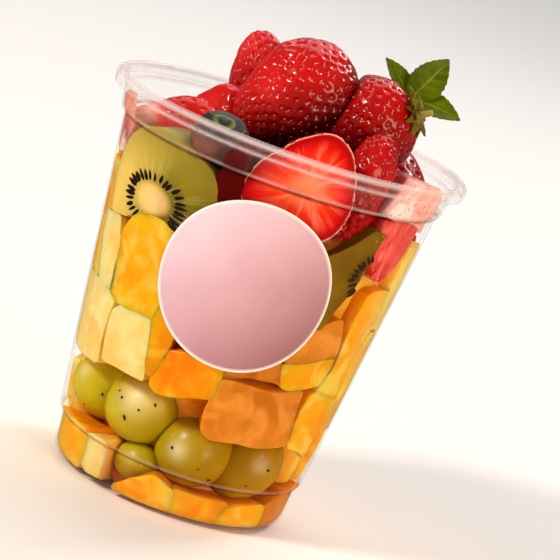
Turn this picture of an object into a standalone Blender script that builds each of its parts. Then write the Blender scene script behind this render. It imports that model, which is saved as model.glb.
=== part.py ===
"""Fruit cup: a clear thin-walled cup filled with cut fruit, with strawberries heaped over its rim.

Everything is in metres, +Z up, with the origin at the middle of the cup's flat base. The front,
where the round label sits, faces -Y. Angles go round the cup's axis from the front, positive
towards +X. The fruit pressed against the wall is shaped on the wall's own cone, so that each
piece lies snugly inside it, and two pieces that meet are pressed flat along one shared plane.
"""
import math

import bmesh
import bpy
import numpy as np
from mathutils import Matrix, Vector

MM = 0.001

# Cup
CUP_HEIGHT = 104.5 * MM
RIM_RADIUS = 49.0 * MM
RIM_DROP = 3.6 * MM
RIM_CREST_IN = 46.4 * MM
WALL = 0.6 * MM
BASE_FLAT_RADIUS = 29.6 * MM
FOOT_RADIUS = 32.6 * MM
FOOT_HEIGHT = 3.4 * MM
STEP_HEIGHT = 12.0 * MM
STEP_RADIUS = 33.3 * MM
STEP_OUT = 1.0 * MM
LEDGE_HEIGHT = 94.2 * MM
LEDGE_RADIUS = 43.5 * MM
LEDGE_OUT = 1.1 * MM
NECK_TOP_RADIUS = 45.5 * MM
CUP_SIDES = 44

# Label
LABEL_DIAMETER = 45.6 * MM
LABEL_THICKNESS = 0.3 * MM
LABEL_ANGLE = 2.8
LABEL_HEIGHT = 66.8 * MM
LABEL_SIDES = 24

# Fruit
GAP = 0.3 * MM
WALL_GAP = 0.4 * MM
CORE_DEPTH = 13.5 * MM
CORE_TOP = 95.0 * MM
CORE_SIDES = 24
CHUNK_BEVEL = 0.17
MERGE = 0.02 * MM

# Mint sprig: each leaf is its direction, the way its face looks, its length, its width and its curl.
MINT_JOINT = (26.6, 3.5, 120.9)
MINT_STEM = 1.1 * MM
MINT_STEM_LENGTH = 4.5 * MM
MINT_STEM_WAY = (-0.35, 0.55, -0.6)
LEAF_THICKNESS = 0.5 * MM
MINT_LEAVES = [
    ((-0.66, 0.1, 0.8), (0.6, -0.9, 0.3), 12, 5.5, 0.6),
    ((0.46, 0.1, 0.95), (0.1, -1.0, 0.1), 14, 8, 0.8),
    ((0.99, -0.1, -0.06), (0.0, -0.75, 0.65), 14, 7, 0.9),
]

DRAFT = (LEDGE_RADIUS - STEP_RADIUS) / (LEDGE_HEIGHT - STEP_HEIGHT)
PARTS = []


def clear_scene():
    for thing in list(bpy.data.objects):
        bpy.data.objects.remove(thing, do_unlink=True)


def material(name, color, roughness, alpha=1.0):
    """A Principled finish from an sRGB colour given as six hex digits."""
    made = bpy.data.materials.new(name)
    made.use_nodes = True
    shader = made.node_tree.nodes["Principled BSDF"]
    channels = [int(color[i:i + 2], 16) / 255 for i in (0, 2, 4)]
    linear = [c / 12.92 if c <= 0.04045 else ((c + 0.055) / 1.055) ** 2.4 for c in channels]
    shader.inputs["Base Color"].default_value = (*linear, 1)
    shader.inputs["Roughness"].default_value = roughness
    shader.inputs["Metallic"].default_value = 0.0
    shader.inputs["Alpha"].default_value = alpha
    made.diffuse_color = (*linear, alpha)
    return made


def finish(name, mesh, finish_material):
    """Makes one named object of a mesh, with its origin at the mesh's middle."""
    if isinstance(mesh, bmesh.types.BMesh):
        if mesh.calc_volume(signed=True) < 0:
            bmesh.ops.reverse_faces(mesh, faces=mesh.faces)
        built = bpy.data.meshes.new(name)
        mesh.to_mesh(built)
        mesh.free()
    else:
        built = mesh
    middle = sum((v.co for v in built.vertices), Vector()) / len(built.vertices)
    built.transform(Matrix.Translation(-middle))
    built.shade_smooth()
    built.set_sharp_from_angle(angle=math.radians(38))
    built.materials.append(finish_material)
    made = bpy.data.objects.new(name, built)
    made.location = middle
    bpy.context.scene.collection.objects.link(made)
    return made


# The cup: one thin shell with a flat base, a step near the foot for stacking, a tapered wall,
# a ledge, a slightly bulged neck and a rim that curls outwards and down.

def rounded(centre, radius, start, end, count):
    """Points on an arc in the profile's plane, from one angle in degrees to another."""
    angles = [math.radians(start + (end - start) * i / (count - 1)) for i in range(count)]
    return [(centre[0] + radius * math.cos(a), centre[1] + radius * math.sin(a)) for a in angles]


def cup_profile():
    """Middle line of the wall, from the rim's free edge over the top and down to the axis."""
    half = WALL / 2
    crest_radius = (RIM_RADIUS - half - RIM_CREST_IN) / 2
    crest_middle = (RIM_CREST_IN + crest_radius, CUP_HEIGHT - half - crest_radius)
    corner = (FOOT_RADIUS - BASE_FLAT_RADIUS, FOOT_HEIGHT - half)
    line = [(RIM_RADIUS - half - 0.3 * MM, CUP_HEIGHT - RIM_DROP)]
    line += rounded(crest_middle, crest_radius, -10, 180, 5)
    line += [(NECK_TOP_RADIUS, CUP_HEIGHT - RIM_DROP - 0.6 * MM)]
    line += [(LEDGE_RADIUS + LEDGE_OUT, LEDGE_HEIGHT + 0.8 * MM), (LEDGE_RADIUS, LEDGE_HEIGHT)]
    line += [(STEP_RADIUS + STEP_OUT, STEP_HEIGHT + 0.6 * MM), (STEP_RADIUS, STEP_HEIGHT)]
    for turn in (0, 38, 90):
        a = math.radians(turn)
        line.append((BASE_FLAT_RADIUS + corner[0] * math.cos(a), FOOT_HEIGHT - corner[1] * math.sin(a)))
    return line + [(0, half)]


def cup():
    line = bmesh.new()
    points = [line.verts.new((r, 0, z)) for r, z in cup_profile()]
    for a, b in zip(points, points[1:]):
        line.edges.new((a, b))
    mesh = bpy.data.meshes.new("cup")
    line.to_mesh(mesh)
    line.free()
    mesh.materials.append(CLEAR_PET)
    made = bpy.data.objects.new("cup", mesh)
    bpy.context.scene.collection.objects.link(made)
    turn = made.modifiers.new("Turned wall", "SCREW")
    turn.steps = CUP_SIDES
    turn.render_steps = CUP_SIDES
    turn.use_merge_vertices = True
    turn.merge_threshold = 0.00005
    turn.use_smooth_shade = True
    shell = made.modifiers.new("Wall thickness", "SOLIDIFY")
    shell.thickness = WALL
    shell.offset = 0
    shell.use_even_offset = True
    return made


def wall_middle(z):
    """Radius of the wall's middle line on the tapered part."""
    return STEP_RADIUS + STEP_OUT + (LEDGE_RADIUS - STEP_RADIUS - STEP_OUT) * (
        (z - STEP_HEIGHT) / (LEDGE_HEIGHT - STEP_HEIGHT))


def label():
    """A round sticker laid on the cone of the wall, front and a little to the right."""
    sticker = bmesh.new()
    layers = []
    for lift in (GAP, GAP + LABEL_THICKNESS):
        rings = []
        for share in (0, 1 / 3, 2 / 3, 1):
            count = 1 if share == 0 else LABEL_SIDES
            ring = []
            for i in range(count):
                a = 2 * math.pi * i / LABEL_SIDES
                across = share * LABEL_DIAMETER / 2 * math.cos(a)
                up = share * LABEL_DIAMETER / 2 * math.sin(a)
                z = LABEL_HEIGHT + up
                r = wall_middle(z) + WALL / 2 + lift
                turn = math.radians(LABEL_ANGLE) + across / wall_middle(z)
                ring.append(sticker.verts.new((r * math.sin(turn), -r * math.cos(turn), z)))
            rings.append(ring)
        layers.append(rings)
    for rings in layers:
        for i in range(LABEL_SIDES):
            j = (i + 1) % LABEL_SIDES
            sticker.faces.new((rings[0][0], rings[1][i], rings[1][j]))
            for inner, outer in zip(rings[1:], rings[2:]):
                sticker.faces.new((inner[i], outer[i], outer[j], inner[j]))
    for i in range(LABEL_SIDES):
        j = (i + 1) % LABEL_SIDES
        sticker.faces.new((layers[0][-1][i], layers[0][-1][j], layers[1][-1][j], layers[1][-1][i]))
    bmesh.ops.recalc_face_normals(sticker, faces=sticker.faces)
    return finish("label", sticker, LABEL_FILM)


# The space the fruit may fill: a cone inside the wall, with the foot's rounded corner.

def fruit_radius(z):
    cone = STEP_RADIUS + DRAFT * (z - STEP_HEIGHT)
    corner = BASE_FLAT_RADIUS + (z - WALL) * (FOOT_RADIUS - BASE_FLAT_RADIUS) / (FOOT_HEIGHT - WALL)
    return min(cone, corner) - WALL / 2 - WALL_GAP


def around(angle, radius, z):
    a = math.radians(angle)
    return Vector((radius * math.sin(a), -radius * math.cos(a), z))


def press_in(body):
    """Presses what would stand through the wall or the floor back inside them."""
    floor = WALL + GAP
    for v in body.verts:
        v.co.z = max(v.co.z, floor)
        r = math.hypot(v.co.x, v.co.y)
        limit = fruit_radius(v.co.z)
        if r > limit:
            v.co.x *= limit / r
            v.co.y *= limit / r


def slice_off(body, point, normal):
    """Cuts away what lies beyond a plane and closes the cut with one flat face."""
    everything = body.verts[:] + body.edges[:] + body.faces[:]
    bmesh.ops.bisect_plane(body, geom=everything, dist=1e-6, plane_co=point, plane_no=normal,
                           clear_outer=True)
    rim = [e for e in body.edges if e.is_boundary]
    if rim:
        bmesh.ops.holes_fill(body, edges=rim, sides=0)
        bmesh.ops.remove_doubles(body, verts=body.verts, dist=MERGE)
        bmesh.ops.recalc_face_normals(body, faces=body.faces)


def add(name, body, finish_material, softness):
    """Keeps a fruit for the packing below; softness says how far it gives way to its neighbours."""
    bmesh.ops.recalc_face_normals(body, faces=body.faces)
    PARTS.append({"name": name, "body": body, "material": finish_material, "softness": softness})


# Fruit shapes

def chunk(name, fruit, angle, height, size, turn=0, taper=0.0, depth=0.0, softness=1.0):
    """A cut block lying against the wall. size is its width, its height and its thickness in
    millimetres, turn tips it in the wall's plane, and taper narrows its top."""
    wide, tall, thick = (side * MM for side in size)
    body = bmesh.new()
    bmesh.ops.create_cube(body, size=1)
    bmesh.ops.scale(body, vec=(wide, tall, thick), verts=body.verts)
    bmesh.ops.bevel(body, geom=body.edges[:], offset=CHUNK_BEVEL * min(wide, tall, thick), segments=1,
                    affect="EDGES")
    for across in (-wide / 5, wide / 5):
        bmesh.ops.bisect_plane(body, geom=body.verts[:] + body.edges[:] + body.faces[:],
                               plane_co=(across, 0, 0), plane_no=(1, 0, 0))
    middle = fruit_radius(height * MM)
    tip = math.radians(turn)
    for v in body.verts:
        across = v.co.x * (1 - taper * v.co.y / tall)
        up = v.co.y
        u = across * math.cos(tip) + up * math.sin(tip)
        z = height * MM - across * math.sin(tip) + up * math.cos(tip)
        z = max(z, WALL + GAP)
        r = fruit_radius(z) - depth * MM - (thick / 2 - v.co.z)
        v.co = around(angle + math.degrees(u / middle), r, z)
    press_in(body)
    add(name, body, fruit, softness)


def ball(segments, rings):
    body = bmesh.new()
    bmesh.ops.create_uvsphere(body, u_segments=segments, v_segments=rings, radius=1)
    return body


def aim(long_way, flat_way):
    """Turns local +Z along long_way, with local +Y as near flat_way as it can be."""
    z = Vector(long_way).normalized()
    x = Vector(flat_way).cross(z).normalized()
    return Matrix((x, z.cross(x), z)).transposed()


def berry_body(length, girth, taper, flat=1.0, segments=12, rings=8):
    """An egg along Z: blunt shoulder at +Z, narrower tip at -Z."""
    body = ball(segments, rings)
    for v in body.verts:
        wide = girth / 2 * (1 + taper * v.co.z)
        v.co = Vector((v.co.x * wide, v.co.y * wide * flat, v.co.z * length / 2))
    return body


def strawberry(name, centre, towards, size, taper=0.22, flat=0.92, segments=12, rings=8, softness=0.2):
    """A whole berry; towards is the way its shoulder points, size its length and its girth."""
    body = berry_body(size[0] * MM, size[1] * MM, taper, flat, segments, rings)
    body.transform(aim(towards, (0, -1, 0)).to_4x4())
    body.transform(Matrix.Translation(Vector(centre) * MM))
    press_in(body)
    add(name, body, STRAWBERRY, softness)


def half_strawberry(name, centre, towards, facing, size, softness=0.1):
    """A berry halved through its axis, its cut face looking along facing."""
    body = berry_body(size[0] * MM, size[1] * MM, 0.2, 0.8, 16, 10)
    slice_off(body, (0, 0, 0), (0, 1, 0))
    body.transform(aim(towards, Vector(facing)).to_4x4())
    body.transform(Matrix.Translation(Vector(centre) * MM))
    press_in(body)
    add(name, body, CUT_STRAWBERRY, softness)


def grape(name, angle, height, size, lean=0, softness=0.12, inset=0.0):
    """A whole grape against the wall; lean tips its long axis from upright towards +angle."""
    length, girth = (side * MM for side in size)
    body = berry_body(length, girth, 0.0, 1.0, 12, 8)
    tangent = around(angle + 90, 1, 0)
    lean = math.radians(lean)
    long_way = tangent * math.sin(lean) + Vector((0, 0, 1)) * math.cos(lean)
    body.transform(aim(long_way, around(angle, 1, 0)).to_4x4())
    reach = fruit_radius(height * MM) - girth / 2 - inset * MM
    body.transform(Matrix.Translation(around(angle, reach, height * MM)))
    press_in(body)
    add(name, body, GRAPE, softness)


def kiwi(name, angle, height, radius, thick, cut=None, softness=0.5, sides=18):
    """A kiwi slice laid against the wall. cut is (offset, turn): where a straight cut halves it."""
    radius *= MM
    body = bmesh.new()
    middle = fruit_radius(height * MM)
    rings = []
    for share, deep in ((0, 0), (0.5, 0), (0.94, 0), (1, 1.2), (0.97, thick), (0, thick)):
        ring = []
        for i in range(1 if share == 0 else sides):
            a = 2 * math.pi * i / sides
            z = height * MM + radius * share * math.sin(a)
            r = fruit_radius(z) - deep * MM
            turn = angle + math.degrees(radius * share * math.cos(a) / middle)
            ring.append(body.verts.new(around(turn, r, z)))
        rings.append(ring)
    for low, high in zip(rings, rings[1:]):
        for i in range(sides):
            j = (i + 1) % sides
            corners = [low[i % len(low)], low[j % len(low)], high[j % len(high)], high[i % len(high)]]
            body.faces.new(list(dict.fromkeys(corners)))
    bmesh.ops.recalc_face_normals(body, faces=body.faces)
    if cut:
        offset, turn = cut
        sideways = around(angle + 90, 1, 0) * math.cos(math.radians(turn))
        normal = sideways + Vector((0, 0, math.sin(math.radians(turn))))
        slice_off(body, around(angle, middle, height * MM) + normal * offset * MM, normal)
    add(name, body, KIWI, softness)


def dark_berry(name, angle, height, diameter, crown_towards, inset=0.0):
    """A round dark berry with the little five-pointed crown of its flower end."""
    radius = diameter / 2 * MM
    body = ball(14, 9)
    for v in body.verts:
        spread = math.hypot(v.co.x, v.co.y)
        dimple = 0.16 * max(0.0, 1 - spread / 0.45) if v.co.z > 0 else 0.0
        v.co *= radius
        v.co.z = v.co.z * 0.92 - dimple * radius
    body.transform(aim(crown_towards, (0, -1, 0)).to_4x4())
    reach = fruit_radius(height * MM) - radius - inset * MM
    body.transform(Matrix.Translation(around(angle, reach, height * MM)))
    press_in(body)
    add(name, body, DARK_BERRY, 0.1)


# Packing: the fruit is pressed together, so where two pieces would pass through each other both
# are cut back along the plane that costs them least, and a gap is left between them.

def ways_to_part(count=700):
    """Unit vectors spread evenly over a sphere."""
    i = np.arange(count) + 0.5
    polar = np.arccos(1 - 2 * i / count)
    turn = math.pi * (1 + math.sqrt(5)) * i
    return np.stack([np.cos(turn) * np.sin(polar), np.sin(turn) * np.sin(polar), np.cos(polar)], axis=1)


def corners(part):
    return np.array([v.co[:] for v in part["body"].verts])


def press_apart(first, second, ways):
    a = corners(first)
    b = corners(second)
    reach = (a @ ways.T).max(axis=0)
    start = (b @ ways.T).min(axis=0)
    overlap = reach - start + GAP
    best = int(np.argmin(overlap))
    if overlap[best] <= 0:
        return
    total = first["softness"] + second["softness"]
    share = first["softness"] / total
    normal = Vector(ways[best])
    level = reach[best] - share * overlap[best]
    if share > 0:
        slice_off(first["body"], normal * level, normal)
    if share < 1:
        slice_off(second["body"], normal * (level + GAP), -normal)


def pack():
    ways = ways_to_part()
    for i, first in enumerate(PARTS):
        for second in PARTS[i + 1:]:
            press_apart(first, second, ways)


def core():
    """The mixed fruit in the middle, seen only through the gaps between the outer pieces."""
    body = bmesh.new()
    rings = []
    low = WALL + GAP
    for z, inset in ((low, 2 * MM), (low + 3 * MM, 0), (CORE_TOP - 4 * MM, 0), (CORE_TOP, 4 * MM)):
        r = fruit_radius(max(z, 4 * MM)) - CORE_DEPTH - inset
        rings.append([body.verts.new(around(360 * i / CORE_SIDES, r, z)) for i in range(CORE_SIDES)])
    body.faces.new(rings[0])
    body.faces.new(rings[-1])
    for below, above in zip(rings, rings[1:]):
        for i in range(CORE_SIDES):
            j = (i + 1) % CORE_SIDES
            body.faces.new((below[i], below[j], above[j], above[i]))
    add("fruit_core", body, MIXED_FRUIT, 0.0)


# Leaves: they lie clear of the packing and are built last.

def leaf_blade(body, base, towards, up, length, width, curl, thickness, rows=4):
    """One pointed leaf, folded a little along its midrib, as a closed thin body."""
    along = Vector(towards).normalized()
    side = along.cross(Vector(up)).normalized()
    lift = side.cross(along)
    layers = []
    for level in (-thickness / 2, thickness / 2):
        rows_made = []
        for i in range(rows + 1):
            t = i / rows
            half = width / 2 * math.sin(math.pi * (0.06 + 0.94 * t) ** 0.85) ** 0.8 if t < 1 else 0
            middle = Vector(base) + along * length * t + lift * (curl * math.sin(math.pi * t) + level)
            fold = lift * half * 0.25
            if half == 0:
                rows_made.append([body.verts.new(middle)])
            else:
                rows_made.append([body.verts.new(middle - side * half + fold), body.verts.new(middle),
                                  body.verts.new(middle + side * half + fold)])
        layers.append(rows_made)
    made = []
    for rows_made, flip in ((layers[0], True), (layers[1], False)):
        for low, high in zip(rows_made, rows_made[1:]):
            for k in range(2):
                quad = [low[k], low[k + 1]] + ([high[k + 1], high[k]] if len(high) == 3 else [high[0]])
                made.append(body.faces.new(quad[::-1] if flip else quad))
    edge = [[row[0] for row in rows_made] for rows_made in layers]
    other = [[row[-1] for row in rows_made] for rows_made in layers]
    for lower, upper in (edge, other):
        for i in range(rows):
            made.append(body.faces.new(list(dict.fromkeys((lower[i], lower[i + 1], upper[i + 1], upper[i])))))
    for k in range(2):
        made.append(body.faces.new((layers[0][0][k], layers[0][0][k + 1],
                                    layers[1][0][k + 1], layers[1][0][k])))
    bmesh.ops.recalc_face_normals(body, faces=made)


def union(base, extra):
    """Joins a second closed solid into the first; the second is only a cutter."""
    joined = base.modifiers.new("Join", "BOOLEAN")
    joined.operation = "UNION"
    joined.object = extra
    extra.hide_render = True
    extra.display_type = "WIRE"


def loose(name, body):
    mesh = bpy.data.meshes.new(name)
    body.to_mesh(mesh)
    body.free()
    made = bpy.data.objects.new(name, mesh)
    bpy.context.scene.collection.objects.link(made)
    return made


def mint_sprig():
    """Three leaves on a short stem, lying on the shoulder of the right-hand strawberry."""
    joint = Vector(MINT_JOINT) * MM
    hub = ball(8, 6)
    bmesh.ops.scale(hub, vec=(MINT_STEM, MINT_STEM, MINT_STEM), verts=hub.verts)
    hub.transform(Matrix.Translation(joint))
    sprig = loose("mint_sprig", hub)
    sprig.data.materials.append(LEAF)
    for number, (towards, up, length, width, curl) in enumerate(MINT_LEAVES):
        body = bmesh.new()
        leaf_blade(body, joint, towards, up, length * MM, width * MM, curl * MM, LEAF_THICKNESS)
        union(sprig, loose("mint_leaf_" + str(number), body))
    stem = bmesh.new()
    bmesh.ops.create_cone(stem, cap_ends=True, segments=8, radius1=0.75 * MM, radius2=0.75 * MM,
                          depth=MINT_STEM_LENGTH)
    stem.transform(aim(MINT_STEM_WAY, (0, -1, 0)).to_4x4())
    stem.transform(Matrix.Translation(joint + Vector(MINT_STEM_WAY).normalized() * MINT_STEM_LENGTH / 2))
    union(sprig, loose("mint_stem", stem))


CLEAR_PET = material("clear_pet", "E9EEF0", 0.06, 0.25)
LABEL_FILM = material("label_film", "F0C9CF", 0.3)
STRAWBERRY = material("strawberry", "C4121A", 0.25)
CUT_STRAWBERRY = material("cut_strawberry", "EE5A3C", 0.3)
KIWI = material("kiwi", "A9A63B", 0.3)
MANGO = material("mango", "F6A623", 0.3)
MELON = material("melon", "F8C67C", 0.35)
GRAPE = material("grape", "B3AE45", 0.2)
DARK_BERRY = material("dark_berry", "35323B", 0.35)
MIXED_FRUIT = material("mixed_fruit", "E79A2A", 0.35)
LEAF = material("leaf", "4C7A1E", 0.4)

clear_scene()
cup()
label()
core()

# The berries heaped over the rim. Centres are in millimetres.
strawberry("strawberry_middle", (-2.2, -7, 112), (20, 6, 24), (35, 27), segments=14, rings=9, softness=0.06)
strawberry("strawberry_right", (16.6, -6, 110.8), (20, -6, 12.5), (30, 25), segments=14, rings=9,
           softness=0.08)
half_strawberry("strawberry_half_front", (6.3, -40, 96.3), (0.86, 0.1, 0.5), (0.16, -1, 0.02), (28.5, 27))
strawberry("strawberry_top_left", (-12.5, 12, 111), (-0.3, 0, 1), (26, 17), taper=-0.12, flat=0.85)
strawberry("strawberry_slice_left", (-28.5, -7, 93), (0.85, 0.1, 0.45), (27, 18), taper=0.1, flat=0.85)
strawberry("strawberry_slice_inner", (-19, 0, 98.5), (0.6, 0, 0.8), (23, 17), taper=0.1, flat=0.85)
strawberry("strawberry_rim_right", (21.8, -26.3, 98), (0.12, 0.2, 1), (30, 13.5), taper=0.12, flat=1.0, softness=0.12)
dark_berry("dark_berry_front", -27, 99.3, 15, (-0.05, -0.45, 1))

# Strawberry pieces against the wall under the rim.
strawberry("strawberry_wall_right", (31, -20.5, 86), (-0.2, 0, 1), (18, 15), flat=0.85)
chunk("strawberry_wedge_right", CUT_STRAWBERRY, 56.5, 96, (21, 17, 9), turn=14, taper=0.5, softness=0.5)
chunk("strawberry_wall_left", CUT_STRAWBERRY, -73, 91, (24, 19, 10), turn=-12, taper=0.2, softness=0.8)
chunk("strawberry_behind_label", STRAWBERRY, -8, 89, (18, 20, 14), turn=10)

# Kiwi.
kiwi("kiwi_left", -41.5, 78, 19, 11, cut=(7.5, -86), softness=0.08)
kiwi("kiwi_right", 44, 75, 15, 11, cut=(0, -18), softness=0.15)

# Mango and melon, from the left round the front to the right, top to bottom.
chunk("mango_left_edge", MANGO, -80, 66, (20, 28, 12), turn=6)
chunk("mango_left_strip", MELON, -62, 61, (9, 22, 10), turn=-22, softness=0.6)
chunk("mango_under_kiwi", MANGO, -40, 62, (22, 26, 11), turn=-4, taper=0.1)
chunk("melon_left", MELON, -66, 40, (17, 22, 12), turn=4)
chunk("melon_left_front", MELON, -34.5, 38.5, (13, 20, 12), turn=-6, taper=0.25, softness=0.3)
chunk("mango_front_upper", MANGO, -24, 46, (12, 19, 12), turn=12)
chunk("mango_front", MANGO, -5, 39.5, (19, 12, 12), turn=-14, taper=0.2)
chunk("mango_behind_label_left", MANGO, -12, 64, (24, 24, 12), turn=-12)
chunk("mango_behind_label_right", MANGO, 17, 66, (20, 26, 12), turn=10)
chunk("melon_under_label", MELON, 17, 46.5, (15, 7, 11), turn=-8)
chunk("melon_front", MELON, 25, 34.5, (24, 18, 12), turn=-6, taper=0.1, softness=0.3)
chunk("mango_small", MANGO, -8, 28.5, (6, 8, 11), turn=-10)
chunk("melon_right", MELON, 38, 58, (14, 15, 12), turn=-14, softness=0.6)
chunk("mango_right_low", MANGO, 41, 48.5, (15, 9, 12), turn=-10)
chunk("mango_right_long", MANGO, 59, 57, (12, 32, 12), turn=10)
chunk("mango_right_bottom", MANGO, 57, 33, (12, 20, 12), turn=8)
chunk("melon_right_edge", MELON, 82, 73, (23, 24, 12), turn=5)
chunk("mango_right_edge", MANGO, 80, 45, (13, 28, 12), turn=0)

# Grapes.
grape("grape_left", -69, 22.5, (25, 20.5), lean=80)
grape("grape_front_left", -30, 23, (22, 20), lean=75, inset=0.5)
grape("grape_front", 9.5, 17.6, (21, 20), lean=60)
grape("grape_right", 47, 17.2, (22, 18.5), lean=50)
grape("grape_low", -22, 9.3, (13, 11), lean=80, inset=2.5)

# The bottom layer, under the step.
chunk("mango_base_left", MANGO, -62, 7, (19, 11, 13), turn=0)
chunk("melon_base_left", MELON, -34, 7.5, (11, 12, 13), turn=0)
chunk("mango_base_front_left", MANGO, -9, 5.5, (17, 9, 13), turn=4)
chunk("mango_base_front", MANGO, 17, 5.5, (14, 9.5, 13), turn=0)
chunk("mango_base_right", MANGO, 41, 6, (15, 10, 13), turn=-4)
chunk("melon_base_right", MELON, 68, 7, (16, 12, 13), turn=0)

# Round the back.
chunk("mango_back_base", MANGO, 178, 12, (32, 21, 13), turn=3)
chunk("melon_back_base", MELON, -120, 13, (28, 22, 13), turn=6)
chunk("mango_back_long", MANGO, 114, 33, (25, 48, 13), turn=-7)
chunk("mango_back_left", MANGO, -105, 46, (27, 30, 13), turn=-8)
grape("grape_back", -150, 24, (23, 20), lean=30)
chunk("melon_back", MELON, -151, 49, (28, 27, 13), turn=6)
chunk("mango_back_right", MANGO, 159, 44, (28, 30, 13), turn=-8)
kiwi("kiwi_back", 185, 77, 19, 12)
chunk("mango_back_upper", MANGO, -121, 77, (36, 27, 13), turn=4)
chunk("strawberry_back_wall", STRAWBERRY, 127, 80, (34, 30, 13), turn=-6, softness=0.6)
strawberry("strawberry_back", (4, 27, 101), (0.9, 0.3, 0.35), (34, 26), segments=10, softness=0.3)
strawberry("strawberry_back_left", (-26, 22, 87), (0.5, -0.6, 0.15), (32, 22), segments=10, softness=0.3)
strawberry("strawberry_back_right", (29, 12, 94), (-0.3, 0.9, 0.1), (32, 23), segments=10, softness=0.3)

pack()
for part in PARTS:
    finish(part["name"], part["body"], part["material"])
mint_sprig()
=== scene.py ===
"""Fruit cup: a clear cup packed with cut fruit, strawberries heaped over its rim and a bare label."""
import math
import random

import bmesh
import bpy
import numpy as np
from mathutils import Matrix, Vector


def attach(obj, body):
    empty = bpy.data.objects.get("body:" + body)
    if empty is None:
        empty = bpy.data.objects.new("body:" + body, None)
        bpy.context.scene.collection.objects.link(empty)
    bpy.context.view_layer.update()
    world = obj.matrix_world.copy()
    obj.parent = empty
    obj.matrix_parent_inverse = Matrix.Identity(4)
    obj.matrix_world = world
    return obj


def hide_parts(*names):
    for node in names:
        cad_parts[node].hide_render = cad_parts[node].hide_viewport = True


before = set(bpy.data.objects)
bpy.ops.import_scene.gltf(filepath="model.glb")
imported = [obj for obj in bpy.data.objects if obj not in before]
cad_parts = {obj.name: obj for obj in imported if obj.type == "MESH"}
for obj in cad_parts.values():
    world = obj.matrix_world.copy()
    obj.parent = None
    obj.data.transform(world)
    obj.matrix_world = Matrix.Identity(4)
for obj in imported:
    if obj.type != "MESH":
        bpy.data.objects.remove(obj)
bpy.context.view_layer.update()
MM = 0.001

# The table: a pale matt floor that fills the view, under soft daylight from the upper left.
# One large soft light stands high on the left, a wide one fills from the right, and the sky
# is a pale even white, so that wet fruit and clear plastic get broad, soft highlights.


def linear(colour):
    """An sRGB colour of six hex digits as linear red, green, blue and alpha."""
    parts = [int(colour[i:i + 2], 16) / 255 for i in (0, 2, 4)]
    return (*[p / 12.92 if p <= 0.04045 else ((p + 0.055) / 1.055) ** 2.4 for p in parts], 1)


def put(material, kind, sockets=None, stops=None, **settings):
    """Adds one node with its settings, its input values or links, and a ramp's colour stops."""
    made = material.node_tree.nodes.new("ShaderNode" + kind)
    for name, value in settings.items():
        setattr(made, name, value)
    for name, value in (sockets or {}).items():
        socket = made.inputs[name]
        if isinstance(value, bpy.types.NodeSocket):
            material.node_tree.links.new(value, socket)
        else:
            socket.default_value = linear(value) if isinstance(value, str) else value
    if stops:
        while len(made.color_ramp.elements) < len(stops):
            made.color_ramp.elements.new(0.5)
        for element, (place, colour) in zip(made.color_ramp.elements, stops):
            element.position = place
            element.color = linear(colour) if isinstance(colour, str) else (colour, colour, colour, 1)
    return made


def begin(name):
    """An empty material and its output node."""
    made = bpy.data.materials.new(name)
    made.use_nodes = True
    made.node_tree.nodes.clear()
    return made, put(made, "OutputMaterial")


def nothing_selected():
    if bpy.context.object and bpy.context.object.mode != "OBJECT":
        bpy.ops.object.mode_set(mode="OBJECT")
    bpy.ops.object.select_all(action="DESELECT")


TARGET = Vector((10.467, 0, 63.467)) * MM
nothing_selected()
bpy.ops.mesh.primitive_plane_add(size=24, location=(0, 6, 0))
floor = bpy.context.object
floor.name = "floor"
paper, out = begin("matt white paper")
surface = put(paper, "BsdfPrincipled", {"Base Color": "FAF8F6", "Roughness": 0.95})
paper.node_tree.links.new(surface.outputs[0], out.inputs["Surface"])
floor.data.materials.append(paper)
floor.visible_glossy = False


def soft_light(name, place, size, power, colour="FFFFFF"):
    """A square lamp of that size in metres, turned to face the cup."""
    bpy.ops.object.light_add(type="AREA", location=place)
    lamp = bpy.context.object
    lamp.name = name
    lamp.data.size = size
    lamp.data.energy = power
    lamp.data.color = linear(colour)[:3]
    lamp.rotation_euler = (Vector((0, 0, 0.06)) - Vector(place)).to_track_quat("-Z", "Y").to_euler()
    return lamp


soft_light("key", (-0.95, -0.75, 0.95), 0.25, 15.5, "FFF6EA")
soft_light("fill", (0.9, -0.9, 0.4), 0.6, 9.5, "FFE0C0")
soft_light("back", (0.7, 0.9, 1.2), 0.35, 8, "FFFAF4")
soft_light("ceiling", (0.1, 2.2, 3.2), 4.0, 75)
sky = bpy.data.worlds.new("studio")
sky.use_nodes = True
sky.node_tree.nodes["Background"].inputs["Color"].default_value = linear("FFFFFF")
sky.node_tree.nodes["Background"].inputs["Strength"].default_value = 0.16
bpy.context.scene.world = sky
bpy.context.scene.view_settings.view_transform = "Standard"

bpy.ops.object.camera_add(location=(0, -0.683197, 0.202354))
camera = bpy.context.object
camera.data.sensor_width = 36
camera.data.lens = 167.14
camera.rotation_euler = ((TARGET - camera.location).to_track_quat("-Z", "Y")
                         @ Matrix.Rotation(math.radians(19.807), 3, "Z").to_quaternion()).to_euler()
bpy.context.scene.camera = camera

# The cup: thermoformed clear PET, 0.6 mm thick, in one piece from its curled rim down over
# the lid ledge and the tapered wall to the stacking step and the flat base. Its profile is
# drawn as one line, spun round the axis, and given its thickness.

WALL = 0.6
CUP_HEIGHT = 104.5
RIM_RADIUS = 49.0
LEDGE_RADIUS = 43.5
LEDGE_HEIGHT = 94.2
STEP_RADIUS = 33.3
STEP_HEIGHT = 12.0
STEP_OUT = 1.0


def arc(middle, radius, start, end, count):
    """Points (radius, height) along an arc, from one angle in degrees to another."""
    turns = [math.radians(start + (end - start) * i / (count - 1)) for i in range(count)]
    return [(middle[0] + radius * math.cos(t), middle[1] + radius * math.sin(t)) for t in turns]


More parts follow.
